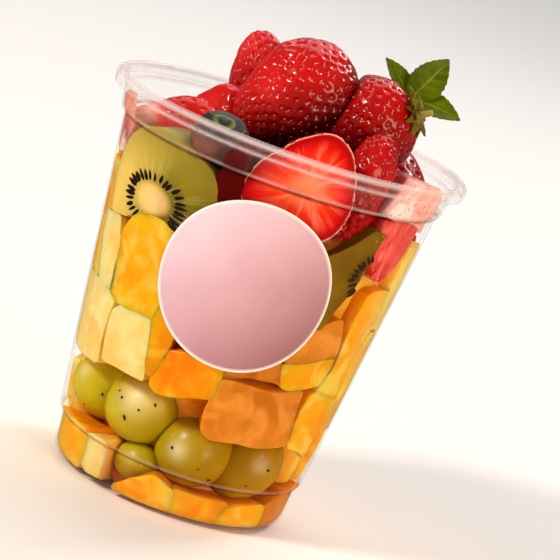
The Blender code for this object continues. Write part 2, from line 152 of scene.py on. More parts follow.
def wall_middle(z):
    """Radius in millimetres of the middle of the tapered wall at a height."""
    share = (z - STEP_HEIGHT) / (LEDGE_HEIGHT - STEP_HEIGHT)
    return STEP_RADIUS + STEP_OUT + (LEDGE_RADIUS - STEP_RADIUS - STEP_OUT) * share


def spun(name, points, steps):
    """Draws a line point by point in the XZ plane, in millimetres, and spins it round the axis."""
    nothing_selected()
    bpy.ops.mesh.primitive_plane_add(size=0.001, location=(0, 0, 0))
    bpy.ops.object.mode_set(mode="EDIT")
    bpy.ops.mesh.select_all(action="SELECT")
    bpy.ops.mesh.merge(type="CENTER")
    bpy.ops.transform.translate(value=(points[0][0] * MM, 0, points[0][1] * MM))
    for here, there in zip(points, points[1:]):
        move = ((there[0] - here[0]) * MM, 0, (there[1] - here[1]) * MM)
        bpy.ops.mesh.extrude_region_move(TRANSFORM_OT_translate={"value": move})
    bpy.ops.mesh.select_all(action="SELECT")
    bpy.ops.mesh.spin(steps=steps, angle=math.tau, center=(0, 0, 0), axis=(0, 0, 1))
    bpy.ops.mesh.select_all(action="SELECT")
    bpy.ops.mesh.remove_doubles(threshold=0.00001)
    bpy.ops.mesh.normals_make_consistent(inside=False)
    bpy.ops.object.mode_set(mode="OBJECT")
    made = bpy.context.object
    made.name = name
    made.data.name = name
    return made


half = WALL / 2
crest = (RIM_RADIUS - half - 46.4) / 2
line = [(RIM_RADIUS - half - 0.3, CUP_HEIGHT - 3.6), (RIM_RADIUS - half - 0.1, CUP_HEIGHT - 2.6)]
line += arc((46.4 + crest, CUP_HEIGHT - half - crest), crest, 0, 180, 13)
line += [(45.9, 101.6), (45.55, 100.6), (45.35, 99.4), (45.05, 97.2), (44.75, 95.6)]
line += arc((44.2, 95.2), 0.4, 20, -70, 5)
line += arc((43.95, 94.35), 0.45, 110, 200, 5)
line += [(wall_middle(z), z) for z in (92, 88, 84, 80, 76, 72, 68, 64, 60, 56, 52, 48, 44, 40, 36, 32, 28, 24, 20, 16, 14)]
line += arc((33.75, 12.95), 0.55, 0, -80, 5)
line += arc((33.75, 11.9), 0.45, 110, 180, 4)
line += [(33.25, 10.6), (33.0, 8.0), (32.75, 5.2), (32.6, 3.6)]
line += arc((29.6, 3.4), 3.0, -8, -90, 9)[:-1] + [(28.6, 0.35), (27.6, 0.9), (26, 1.1), (14, 1.1), (0, 1.1)]
cup = spun("clear_cup", line, 180)
shell = cup.modifiers.new("wall", "SOLIDIFY")
shell.thickness = WALL * MM
shell.offset = 0
bpy.ops.object.modifier_apply(modifier="wall")
bpy.ops.object.shade_smooth_by_angle(angle=math.radians(50))

# Clear PET is glossy and slightly grey-white where it is curled or thick, at the rim and ledge.
# Its milky parts are tinted faintly pink as painted red light from the fruit, and thin warm grey
# lines at the stacking step and the ledge are painted shade of the bends.
pet, out = begin("clear PET")
where = put(pet, "TexCoord")
height = put(pet, "SeparateXYZ", {"Vector": where.outputs["Object"]})
level = put(pet, "MapRange", {"Value": height.outputs["Z"], "From Min": 0.0, "From Max": 0.1045})
haze = put(pet, "ValToRGB", {"Fac": level.outputs["Result"]}, [
    (0.0, 0.1), (0.02, 0.02), (0.117, 0.0), (0.121, 0.2), (0.127, 0.0), (0.903, 0.0), (0.908, 0.3),
    (0.914, 0.01), (0.955, 0.02), (0.963, 0.3), (0.97, 0.02), (0.983, 0.02), (0.989, 0.34), (1.0, 0.16)])
# painted shade: a thin warm grey line in what the plastic lets through, at the stacking step and at the ledge
bend_shade_tint = put(pet, "ValToRGB", {"Fac": level.outputs["Result"]}, [
    (0.111, "FDFDFD"), (0.113, "D8C4B0"), (0.116, "D8C4B0"), (0.118, "FDFDFD"), (0.897, "FDFDFD"),
    (0.899, "D4BCA6"), (0.902, "D4BCA6"), (0.904, "FDFDFD")])
gloss = put(pet, "BsdfGlossy", {"Color": "FFFFFF", "Roughness": 0.06})
# the faint pink of the milky parts is painted red light from the fruit
milk = put(pet, "BsdfTranslucent", {"Color": "FFF3F0"})
frost = put(pet, "BsdfDiffuse", {"Color": "FFF3F0"})
clear = put(pet, "BsdfTransparent", {"Color": bend_shade_tint.outputs["Color"]})
rim_glow = put(pet, "MixShader", {"Fac": 0.5})
pet.node_tree.links.new(milk.outputs[0], rim_glow.inputs[1])
pet.node_tree.links.new(frost.outputs[0], rim_glow.inputs[2])
seen = put(pet, "MixShader", {"Fac": haze.outputs["Color"]})
pet.node_tree.links.new(clear.outputs[0], seen.inputs[1])
pet.node_tree.links.new(rim_glow.outputs[0], seen.inputs[2])
slant = put(pet, "LayerWeight", {"Blend": 0.5})
mirror = put(pet, "ValToRGB", {"Fac": slant.outputs["Facing"]}, [
    (0.0, 0.003), (0.5, 0.005), (0.66, 0.02), (0.82, 0.07), (0.96, 0.24)])
drawn = put(pet, "Mapping", {"Vector": where.outputs["Object"], "Scale": (1.0, 1.0, 0.07)})
streaks = put(pet, "TexNoise", {"Vector": drawn.outputs["Vector"], "Scale": 230.0, "Detail": 2.0})
streak = put(pet, "MapRange", {"Value": streaks.outputs["Fac"], "From Min": 0.4, "From Max": 0.66,
                               "To Min": 0.35, "To Max": 2.4})
lit = put(pet, "Math", {0: mirror.outputs["Color"], 1: streak.outputs["Result"]}, operation="MULTIPLY")
side = put(pet, "NewGeometry")
outer = put(pet, "Math", {0: 1.0, 1: side.outputs["Backfacing"]}, operation="SUBTRACT")
shine = put(pet, "Math", {0: lit.outputs[0], 1: outer.outputs[0]}, operation="MULTIPLY")
wall_look = put(pet, "MixShader", {"Fac": shine.outputs[0]})
pet.node_tree.links.new(seen.outputs[0], wall_look.inputs[1])
pet.node_tree.links.new(gloss.outputs[0], wall_look.inputs[2])
pet.node_tree.links.new(wall_look.outputs[0], out.inputs["Surface"])
cup.data.materials.append(pet)
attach(cup, "root")
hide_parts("cup")

# The label: a round sticker of pale pink film, 46 mm across, stuck on the wall. It is bare.
# A disc is inset ring by ring, laid on the wall's cone, and given its thickness.

LABEL_RADIUS = 22.8
LABEL_ANGLE = 2.8
LABEL_HEIGHT = 66.8
nothing_selected()
bpy.ops.mesh.primitive_circle_add(vertices=96, radius=LABEL_RADIUS * MM, fill_type="NGON")
label = bpy.context.object
label.name = "label_sticker"
label.data.name = "label_sticker"
bpy.ops.object.mode_set(mode="EDIT")
bpy.ops.mesh.select_all(action="SELECT")
for ring in (0.35, 1.45, 1.6, 1.6, 1.8, 2.0, 2.0, 2.0, 2.0, 2.0, 2.0, 2.0):
    bpy.ops.mesh.inset(thickness=ring * MM)
bpy.ops.mesh.poke()
bpy.ops.object.mode_set(mode="OBJECT")
plane = label.data.attributes.new("flat_place", "FLOAT_VECTOR", "POINT")
for spot, vertex in zip(plane.data, label.data.vertices):
    spot.vector = vertex.co
    z = LABEL_HEIGHT + vertex.co.y / MM
    r = wall_middle(z) + WALL / 2 + 0.12
    turn = math.radians(LABEL_ANGLE) + vertex.co.x / MM / wall_middle(z)
    vertex.co = Vector((r * math.sin(turn), -r * math.cos(turn), z)) * MM
film = label.modifiers.new("film", "SOLIDIFY")
film.thickness = 0.22 * MM
film.offset = 1
bpy.ops.object.modifier_apply(modifier="film")
bpy.ops.object.shade_smooth_by_angle(angle=math.radians(50))

# Satin polypropylene film: a soft sheen, faintly mottled, paler along its cut edge. Its pink is
# painted light at the upper left and painted shade at the lower right.
pp, out = begin("pink satin film")
place = put(pp, "Attribute", attribute_name="flat_place")
distance = put(pp, "VectorMath", {0: place.outputs["Vector"]}, operation="LENGTH")
edge = put(pp, "MapRange", {"Value": distance.outputs["Value"], "From Min": 0.0218, "From Max": 0.0226})
cloud = put(pp, "TexNoise", {"Vector": place.outputs["Vector"], "Scale": 60.0, "Detail": 3.0})
# painted light and shade: the pink darkens from the upper left to the lower right
across = put(pp, "VectorMath", {0: place.outputs["Vector"], 1: (-0.75, 0.66, 0)}, operation="DOT_PRODUCT")
painted_light_share = put(pp, "MapRange", {"Value": across.outputs["Value"], "From Min": -0.022, "From Max": 0.022})
painted_light_pink = put(pp, "ValToRGB", {"Fac": painted_light_share.outputs["Result"]}, [(0.0, "A87076"), (0.5, "DAA9B3"), (1.0, "F8D6E2")])
mottle = put(pp, "ValToRGB", {"Fac": cloud.outputs["Fac"]}, [(0.3, "F4F0F2"), (0.7, "FFFFFF")])
tone = put(pp, "MixRGB", {"Fac": 1.0, "Color1": painted_light_pink.outputs["Color"], "Color2": mottle.outputs["Color"]},
           blend_type="MULTIPLY")
rim = put(pp, "MixRGB", {"Fac": edge.outputs["Result"], "Color1": tone.outputs["Color"], "Color2": "FFF2EC"})
grain = put(pp, "TexNoise", {"Vector": place.outputs["Vector"], "Scale": 900.0, "Detail": 2.0})
relief = put(pp, "Bump", {"Height": grain.outputs["Fac"], "Strength": 0.05, "Distance": 0.0002})
surface = put(pp, "BsdfPrincipled", {"Base Color": rim.outputs["Color"], "Roughness": 0.38,
                                     "Normal": relief.outputs["Normal"], "Coat Weight": 0.25,
                                     "Coat Roughness": 0.2})
pp.node_tree.links.new(surface.outputs[0], out.inputs["Surface"])
label.data.materials.append(pp)
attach(label, "root")
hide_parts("label")

# Mango: ripe flesh cut into blocks, soft-edged and wet, pressed flat where it meets the wall.
# Each block keeps the shape and place of its solid, with its edges worn round and its faces
# a little uneven, and reaches just into the wall so that no air shows between.


def copied(name, *nodes):
    """A copy of the first given CAD node's mesh, its doubled points merged, as one new object, selected and active."""
    nothing_selected()
    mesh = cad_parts[nodes[0]].data.copy()
    made = bpy.data.objects.new(name, mesh)
    bpy.context.scene.collection.objects.link(made)
    mesh.name = name
    mesh.materials.clear()
    bpy.context.view_layer.objects.active = made
    made.select_set(True)
    bpy.ops.object.mode_set(mode="EDIT")
    bpy.ops.mesh.select_all(action="SELECT")
    bpy.ops.mesh.remove_doubles(threshold=0.000005)
    bpy.ops.object.mode_set(mode="OBJECT")
    return made


def apply(thing, kind, **settings):
    """Adds one modifier, sets it and applies it."""
    made = thing.modifiers.new(kind, kind)
    for name, value in settings.items():
        setattr(made, name, value)
    bpy.context.view_layer.objects.active = thing
    bpy.ops.object.modifier_apply(modifier=made.name)


def places(thing):
    """The object's points as rows of millimetres."""
    found = np.empty(len(thing.data.vertices) * 3, np.float32)
    thing.data.vertices.foreach_get("co", found)
    return found.reshape(-1, 3) / MM


def set_places(thing, points):
    thing.data.vertices.foreach_set("co", (points * MM).astype(np.float32).ravel())
    thing.data.update()


def wall_inside(z):
    """Radius of the wall's middle line at any height, with the foot's round corner."""
    z = np.asarray(z, float)
    cone = STEP_RADIUS + STEP_OUT + (LEDGE_RADIUS - STEP_RADIUS - STEP_OUT) * (z - STEP_HEIGHT) / (
        LEDGE_HEIGHT - STEP_HEIGHT)
    foot = np.interp(z, [0, 0.6, 1.4, 2.4, 3.6, 11.4, 12.6], [29.6, 30.6, 31.6, 32.2, 32.6, 33.3, 34.3])
    neck = np.interp(z, [94.2, 95.4, 101.6], [43.5, 44.6, 45.9])
    return np.where(z < 12.6, foot, np.where(z > 94.2, neck, cone))


def press_to_wall(points, start=0.75, reach=3.0, into=0.12, floor=1.45):
    """Draws what lies close inside the wall outwards, so that its face ends inside the plastic."""
    r = np.hypot(points[:, 0], points[:, 1])
    room = wall_inside(points[:, 2]) - r
    new = np.interp(room, [-5, 0, start, reach], [into * 0.4, into * 0.65, into, reach])
    new = np.where(room > reach, room, new)
    scale = (r + room - new) / np.maximum(r, 1e-6)
    points = points.copy()
    points[:, 0] *= scale
    points[:, 1] *= scale
    points[:, 2] = np.maximum(points[:, 2], floor)
    return points


def smooth_step(x):
    x = np.clip(x, 0, 1)
    return x * x * (3 - 2 * x)


def sway(points):
    """The gentle bend that all the cut fruit shares, so that neighbours still meet where the
    pieces have been squeezed together and their straight cuts have sagged."""
    draw = np.random.default_rng(5)
    moved = points.copy()
    for wave, way, phase in zip(draw.normal(size=(6, 3)), draw.normal(size=(6, 3)), draw.uniform(0, math.tau, 6)):
        wave *= math.tau / 16 / np.linalg.norm(wave)
        moved += 0.5 * np.sin(points @ wave + phase)[:, None] * way / np.linalg.norm(way)
    return moved


def arched(points, angle, half, rise, still, full):
    """Bends a piece's points up in an arch about an angle, from none at one height to all at another."""
    turn = np.degrees(np.arctan2(points[:, 0], -points[:, 1])) - angle
    points[:, 2] += rise * np.clip(1 - (turn / half) ** 2, 0, 1) * smooth_step((points[:, 2] - still) / (full - still))
    return points


clouds = bpy.data.textures.new("uneven flesh", "CLOUDS")
clouds.noise_scale = 0.005
clouds.noise_depth = 2


def around(angle, radius, z):
    """A point at an angle in degrees from the front, a radius and a height, in millimetres."""
    a = math.radians(angle)
    return Vector((radius * math.sin(a), -radius * math.cos(a), z))


SLICED = {
    "melon_back_base": [(tuple(around(-98, 33, 12)), tuple(around(-8, 1, 0)))],
    "melon_front": [(tuple(around(22, 36.5, 37.5)), tuple(around(10, 0.7, 0.72)))],
    "melon_left_front": [(tuple(around(-42, 36.2, 40)), tuple(around(-72, 1.0, 0.15))),
                         (tuple(around(-31, 36, 34)), tuple(around(-20, 0.2, -1)))],
    "mango_front": [(tuple(around(-12, 36.5, 41)), tuple(around(-30, 0.75, 0.65)))],
    "mango_under_kiwi": [(tuple(around(-48, 38.5, 62)), tuple(around(-75, 1.0, 0.2)))],
}


ARCHED = {"kiwi_left": (-38.5, 15, 3.1, 78, 71), "mango_under_kiwi": (-38.5, 15, 3.1, 61, 70)}
WIDENED = {"kiwi_left": (-46, 1.1), "mango_left_strip": (-63, 1.35), "mango_left_edge": (-80, 1.2),
           "strawberry_wall_right": (72, 1.12), "melon_left": (-74, 1.14), "melon_left_front": (-28, 1.06)}


def cut_piece(node, material, rounding=3, uneven=0.5, grow=0.6, cell=0.5, start=4.2, into=0.12, outwards=0):
    """A block of cut fruit made from its solid: edges worn round, faces a little uneven."""
    made = copied(node + "_flesh", node)
    for point, way in SLICED.get(node, []):
        bpy.ops.object.mode_set(mode="EDIT")
        bpy.ops.mesh.select_all(action="SELECT")
        bpy.ops.mesh.bisect(plane_co=Vector(point) * MM, plane_no=way, clear_outer=True, use_fill=True)
        bpy.ops.object.mode_set(mode="OBJECT")
    apply(made, "REMESH", mode="VOXEL", voxel_size=cell * MM)
    apply(made, "SMOOTH", factor=0.5, iterations=rounding)
    apply(made, "DISPLACE", strength=uneven * MM, mid_level=0.5 - grow / max(uneven, 0.01) * 0.5,
          texture=clouds, texture_coords="LOCAL")
    points = sway(places(made))
    if node in ARCHED:
        points = arched(points, *ARCHED[node])
    if node in WIDENED:
        middle, share = math.radians(WIDENED[node][0]), WIDENED[node][1]
        turns = (np.arctan2(points[:, 0], -points[:, 1]) - middle) * share + middle
        off_axis = np.hypot(points[:, 0], points[:, 1])
        points[:, 0], points[:, 1] = off_axis * np.sin(turns), -off_axis * np.cos(turns)
    points[:, :2] *= 1 + outwards / np.hypot(points[:, 0], points[:, 1])[:, None]
    set_places(made, press_to_wall(points, start, start + 2, into))
    bpy.ops.object.shade_smooth()
    made.data.materials.append(material)
    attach(made, "root")
    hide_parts(node)
    return made


def flesh(name, left, right, vein, juice, recess_shade_colour, fibre_scale, glow, roughness=0.2, edge="FFD668", strong=0.28,
          recess_shade_amount=0.85):
    """Cut fruit flesh: mottled, faintly fibrous, wet, and lit through from inside. left and right
    are each the darker and lighter tone of the fruit at either side of the cup, those at the right
    darker as painted shade on the side away from the lamp; juice is that of the film between it and
    the wall; the colour after juice is painted shade that deepens what lies further in, in the gaps
    between the pieces; edge is a pale painted highlight down the cup's right side."""
    made, out = begin(name)
    place = put(made, "TexCoord")
    stretch = put(made, "Mapping", {"Vector": place.outputs["Object"], "Scale": (1.0, 1.0, 0.3)})
    patch = put(made, "TexNoise", {"Vector": place.outputs["Object"], "Scale": 75.0, "Detail": 3.0})
    strands = put(made, "TexNoise", {"Vector": stretch.outputs["Vector"], "Scale": fibre_scale, "Detail": 4.0,
                                     "Distortion": 0.6})
    parts = put(made, "SeparateXYZ", {"Vector": place.outputs["Object"]})
    # painted light and shade: the darker right-hand tones are painted shade on the side away from the lamp
    across = put(made, "MapRange", {"Value": parts.outputs["X"], "From Min": -0.03, "From Max": 0.008})
    lit_left_tone = put(made, "ValToRGB", {"Fac": patch.outputs["Fac"]}, [(0.35, left[0]), (0.65, left[1])])
    shaded_right_tone = put(made, "ValToRGB", {"Fac": patch.outputs["Fac"]}, [(0.35, right[0]), (0.65, right[1])])
    tone = put(made, "MixRGB", {"Fac": across.outputs["Result"], "Color1": lit_left_tone.outputs["Color"],
                                "Color2": shaded_right_tone.outputs["Color"]})
    lines = put(made, "ValToRGB", {"Fac": strands.outputs["Fac"]}, [(0.5, 0.0), (0.8, strong)])
    lined = put(made, "MixRGB", {"Fac": lines.outputs["Color"], "Color1": tone.outputs["Color"], "Color2": vein})
    film = put(made, "TexNoise", {"Vector": place.outputs["Object"], "Scale": 120.0, "Detail": 2.0,
                                  "Distortion": 0.8})
    pale = put(made, "ValToRGB", {"Fac": film.outputs["Fac"]}, [(0.46, 0.0), (0.66, 0.7)])
    filmed = put(made, "MixRGB", {"Fac": pale.outputs["Color"], "Color1": lined.outputs["Color"], "Color2": juice})
    # painted highlight: a pale band down the cup's right side, where the wall's glare lies
    rim = put(made, "MapRange", {"Value": parts.outputs["X"], "From Min": 0.033, "From Max": 0.040, "To Max": 0.65})
    # painted shade: the tone deepens where the surface lies further in from the wall, in the gaps between pieces
    level = put(made, "VectorMath", {0: place.outputs["Object"], 1: (1, 1, 0)}, operation="MULTIPLY")
    off_axis = put(made, "VectorMath", {0: level.outputs["Vector"]}, operation="LENGTH")
    wall_here = put(made, "Math", {0: parts.outputs["Z"], 1: 0.1119, 2: 0.0326}, operation="MULTIPLY_ADD")
    behind = put(made, "Math", {0: wall_here.outputs[0], 1: off_axis.outputs["Value"]}, operation="SUBTRACT")
    ragged = put(made, "Math", {0: patch.outputs["Fac"], 1: 0.004, 2: behind.outputs[0]}, operation="MULTIPLY_ADD")
    recess_shade = put(made, "MapRange", {"Value": ragged.outputs[0], "From Min": 0.0027, "From Max": 0.0052,
                                    "To Max": recess_shade_amount})
    recess_shaded_tone = put(made, "MixRGB", {"Fac": recess_shade.outputs["Result"], "Color1": filmed.outputs["Color"],
                                       "Color2": recess_shade_colour})
    colour = put(made, "MixRGB", {"Fac": rim.outputs["Result"], "Color1": recess_shaded_tone.outputs["Color"],
                                  "Color2": edge})
    fine = put(made, "TexNoise", {"Vector": place.outputs["Object"], "Scale": 500.0, "Detail": 3.0})
    relief = put(made, "Bump", {"Height": strands.outputs["Fac"], "Strength": 0.12, "Distance": 0.0005})
    relief2 = put(made, "Bump", {"Height": fine.outputs["Fac"], "Strength": 0.1, "Distance": 0.0003,
                                 "Normal": relief.outputs["Normal"]})
    wet = put(made, "MapRange", {"Value": patch.outputs["Fac"], "To Min": roughness - 0.08,
                                 "To Max": roughness + 0.14})
    surface = put(made, "BsdfPrincipled", {
        "Base Color": colour.outputs["Color"], "Roughness": wet.outputs["Result"], "Specular IOR Level": 0.1,
        "Normal": relief2.outputs["Normal"], "Subsurface Weight": glow,
        "Subsurface Radius": (1.0, 0.5, 0.08), "Subsurface Scale": 0.006, "Coat Weight": 0.08,
        "Coat Roughness": 0.1})
    made.node_tree.links.new(surface.outputs[0], out.inputs["Surface"])
    return made


MANGO = flesh("ripe mango flesh", ("F88800", "FFAE00"), ("F47C00", "FF9E00"), "FFBC10", "FFC028", "EC7400",
              240.0, 0.8)
YELLOW_MANGO = flesh("yellow mango flesh", ("FF9C00", "FFBC0C"), ("FC9800", "FFB208"), "FFD048",
                     "FFD458", "F48400", 240.0, 0.8)
YELLOW_ONES = ("mango_left_edge", "mango_base_front_left", "mango_base_right", "mango_under_kiwi", "mango_base_left", "mango_back_left", "mango_back_upper",
               "mango_right_edge", "mango_right_bottom", "mango_right_long", "mango_right_low", "mango_back_long")
for node in sorted(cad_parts):
    if node.startswith("mango_") and node not in ("mango_left_strip", "mango_small"):
        cut_piece(node, YELLOW_MANGO if node in YELLOW_ONES else MANGO, rounding=5, uneven=0.9,
                  grow=1.9 if node == "mango_right_edge" else 1.1, outwards=7 if node == "mango_back_upper" else 0)

# Melon: paler, firmer cubes of cantaloupe, with crisper edges and a fine even grain.

MELON = flesh("cantaloupe flesh", ("F8A020", "FFB63C"), ("C26A06", "DC861E"), "ECA848", "F0A03C", "C86604",
              320.0, 0.7, 0.28)
# A darker copy of the cantaloupe for the piece under the label, as painted shade.
SHADED_MELON = flesh("cantaloupe in painted shade", ("DC8410", "F29C28"), ("B45C00", "CC740C"), "DC8C28", "D88828",
                     "A85200", 320.0, 0.7, 0.28)
PALE_MELON = flesh("pale melon flesh", ("FFC45C", "FFE090"), ("F8AA30", "FFC858"), "FFE89C",
                   "FFE69C", "FFB434", 320.0, 0.7, 0.28)
PALE_ONES = ("melon_left", "melon_left_front", "mango_left_strip", "melon_base_left", "melon_right_edge",
             "melon_back", "melon_back_base")
for node in sorted(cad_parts):
    if node.startswith("melon_") or node == "mango_left_strip":
        look = PALE_MELON if node in PALE_ONES else SHADED_MELON if node == "melon_under_label" else MELON
        cut_piece(node, look, rounding=2, uneven=0.5, grow=0.9)

# Grapes: whole seedless green grapes, smooth and taut, with tiny brown specks and a soft pale patch painted on each as
# a highlight.
# Each is a sphere drawn out along its length and pressed flat where it meets the wall.


def aim(long_way, flat_way):
    """Turns local +Z along long_way, with local +Y as near flat_way as it can be."""
    z = Vector(long_way).normalized()
    x = Vector(flat_way).cross(z).normalized()
    return Matrix((x, z.cross(x), z)).transposed()


def fruit_radius(z):
    cone = STEP_RADIUS + (LEDGE_RADIUS - STEP_RADIUS) * (z - STEP_HEIGHT) / (LEDGE_HEIGHT - STEP_HEIGHT)
    return min(cone, 29.6 + (z - 0.6) * 3.0 / 2.8) - 0.7


def pressed(points, node, least=0.9, share=1.0):
    """Flattens a full round shape along the planes where its solid was pressed by a neighbour."""
    solid = copied("pressing", node)
    mesh = solid.data
    mesh.calc_loop_triangles()
    middle = np.array([v.co for v in mesh.vertices]).mean(axis=0) / MM
    planes = []
    for triangle in mesh.loop_triangles:
        normal = np.array(triangle.normal)
        corner = np.array(mesh.vertices[triangle.vertices[0]].co) / MM
        level = float(normal @ corner)
        if level - normal @ middle < 0:
            normal, level = -normal, -level
        if not any(abs(normal @ n - 1) < 0.0004 and abs(level - d) < 0.08 for n, d in planes):
            planes.append((normal, level))
    bpy.data.objects.remove(solid)
    for normal, level in planes:
        over = points @ normal - level
        if over.max() > least:
            points = points - share * np.clip(over, 0, None)[:, None] * normal
    return points


def ball(name, detail):
    """A fine round ball of radius 1 mm at the origin, to be shaped into a fruit."""
    nothing_selected()
    bpy.ops.mesh.primitive_ico_sphere_add(subdivisions=detail, radius=MM)
    made = bpy.context.object
    made.name = name
    made.data.name = name
    return made


def ellipsoids(name, material, bodies, detail=1):
    """Many small closed drops as one mesh; each is its middle, its turn and its three half sizes."""
    mesh = bmesh.new()
    for middle, turn, size in bodies:
        drop = bmesh.ops.create_icosphere(mesh, subdivisions=detail, radius=1)["verts"]
        for v in drop:
            x, y, z = v.co
            v.co = (turn @ Vector((x * size[0] * (1 - 0.3 * z), y * size[1], z * size[2])) + middle) * MM
    made = bpy.data.meshes.new(name)
    mesh.to_mesh(made)
    mesh.free()
    thing = bpy.data.objects.new(name, made)
    bpy.context.scene.collection.objects.link(thing)
    made.materials.append(material)
    nothing_selected()
    thing.select_set(True)
    bpy.context.view_layer.objects.active = thing
    bpy.ops.object.shade_smooth()
    return thing


def join(thing, *others):
    nothing_selected()
    for other in (*others, thing):
        other.select_set(True)
    bpy.context.view_layer.objects.active = thing
    bpy.ops.object.join()


GRAPE, out = begin("grape skin")
place = put(GRAPE, "TexCoord")
patch = put(GRAPE, "TexNoise", {"Vector": place.outputs["Object"], "Scale": 55.0, "Detail": 2.0})
tone = put(GRAPE, "ValToRGB", {"Fac": patch.outputs["Fac"]}, [(0.3, "BEA806"), (0.5, "CEB80E"), (0.72, "E0CC2C")])
sideways = put(GRAPE, "SeparateXYZ", {"Vector": place.outputs["Object"]})
# painted shade: darker and warmer towards the cup's right side
shaded = put(GRAPE, "MapRange", {"Value": sideways.outputs["X"], "From Min": -0.03, "From Max": 0.012})
painted_side_shade = put(GRAPE, "ValToRGB", {"Fac": shaded.outputs["Result"]}, [(0.0, "FFFFFF"), (0.6, "DCD8C0"), (1.0, "D4B464")])
side_shaded = put(GRAPE, "MixRGB", {"Fac": 1.0, "Color1": tone.outputs["Color"], "Color2": painted_side_shade.outputs["Color"]},
            blend_type="MULTIPLY")
specks = put(GRAPE, "TexVoronoi", {"Vector": place.outputs["Object"], "Scale": 230.0})
dots = put(GRAPE, "ValToRGB", {"Fac": specks.outputs["Distance"]}, [(0.05, 0.55), (0.11, 0.0)])
dotted = put(GRAPE, "MixRGB", {"Fac": dots.outputs["Color"], "Color1": side_shaded.outputs["Color"], "Color2": "DDC67A"})
# painted highlight: a soft pale patch on each grape, its strength held in the bloom attribute
painted_highlight = put(GRAPE, "Attribute", attribute_name="bloom")
colour = put(GRAPE, "MixRGB", {"Fac": painted_highlight.outputs["Fac"], "Color1": dotted.outputs["Color"], "Color2": "FFF4C8"})
surface = put(GRAPE, "BsdfPrincipled", {
    "Base Color": colour.outputs["Color"], "Roughness": 0.26, "Specular IOR Level": 0.16, "Subsurface Weight": 0.8,
    "Subsurface Radius": (0.9, 1.0, 0.1), "Subsurface Scale": 0.005, "Coat Weight": 0.08, "Coat Roughness": 0.4})
GRAPE.node_tree.links.new(surface.outputs[0], out.inputs["Surface"])

GRAPES = {
    "grape_left": (-77.5, 22.8, 31.5, 21, 80, 0), "grape_front_left": (-33, 24, 23, 22, 75, 0.5),
    "grape_front": (9.5, 17.6, 21, 20, 60, 0), "grape_right": (53, 17.6, 27, 20.5, 50, 0),
    "grape_low": (-22, 9.3, 13, 11, 80, 2.5), "grape_back": (-150, 24, 23, 20, 30, 0),
}
# Where each grape's painted highlight lies: angle, height, spread and strength.
HIGHLIGHT_SPOTS = {"grape_front_left": (-27, 28.5, 4.4, 0.6), "grape_front": (-2, 19.5, 2.6, 0.5),
         "grape_left": (-64, 27, 2.6, 0.35), "grape_right": (42, 21, 2.4, 0.2)}
SPECKS = {
    "grape_left": [(-46, 21.2, 1.0), (-62, 12.5, 0.8)],
    "grape_front_left": [(-33.5, 26, 1.1), (-22, 25, 0.8), (-14, 28.5, 1.2), (-28, 20.5, 2.4), (-38, 28, 0.6)],
    "grape_front": [(-6, 18.6, 1.3), (21, 10.8, 1.0), (12, 15.5, 0.5)],
    "grape_right": [(46.5, 19.8, 1.0), (38, 13, 0.5)],
}
SPECK, out = begin("brown speck")
surface = put(SPECK, "BsdfPrincipled", {"Base Color": "3A1C08", "Roughness": 0.5, "Specular IOR Level": 0.1})
SPECK.node_tree.links.new(surface.outputs[0], out.inputs["Surface"])
for node, (angle, height, length, girth, lean, inset) in GRAPES.items():
    grape = ball(node + "_skin", 5)
    points = places(grape) * np.array([girth / 2, girth / 2, length / 2])
    tip = math.radians(lean)
    long_way = around(angle + 90, 1, 0) * math.sin(tip) + Vector((0, 0, math.cos(tip)))
    turned = points @ np.array(aim(long_way, around(angle, 1, 0))).T
    turned += np.array(around(angle, fruit_radius(height) - girth / 2 - inset, height))
    turned = pressed(turned, node, share=0.25 if node == "grape_left" else 0.45)
    set_places(grape, press_to_wall(turned, into=0.05))
    skin = places(grape)
    # painted highlight: strongest at the skin point nearest the given spot, fading with distance
    turn, z, wide, strong = HIGHLIGHT_SPOTS.get(node, (angle, height + 3, 2.0, 0.2))
    wanted = np.array(around(turn, wall_middle(z), z))
    brightest = skin[np.argmin(((skin - wanted) ** 2).sum(axis=1))]
    off = np.linalg.norm(skin - brightest, axis=1)
    bloom = grape.data.attributes.new("bloom", "FLOAT", "POINT")
    bloom.data.foreach_set("value", (strong * np.exp(-(off / wide) ** 2)).astype(np.float32))
    nothing_selected()
    grape.select_set(True)
    bpy.ops.object.shade_smooth()
    grape.data.materials.append(GRAPE)
    drops = []
    for turn, z, long in SPECKS.get(node, []):
        wanted = around(turn, wall_middle(z), z)
        spot = skin[np.argmin(((skin - np.array(wanted)) ** 2).sum(axis=1))]
        drops.append((Vector(spot), aim((0.5, -0.2, -0.8), around(turn, 1, 0)), (0.42, 0.25, 0.45 * long)))
    if drops:
        join(grape, ellipsoids("specks", SPECK, drops))
    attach(grape, "root")
    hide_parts(node)

# Kiwi: thick round slices laid against the wall, peeled, with a pale woody core, a ring of small
# dark seeds standing end-on round it, and fine pale rays running out through the green flesh.

KIWIS = {"kiwi_left": (-41.5, 78.3, 1.44, 0.9), "kiwi_right": (50.5, 77.3, 0.95, 0.95),
         "kiwi_back": (185, 77, 1.0, 1.0)}
KIWI_SEEDS = 30
SEED_RING = 6.9

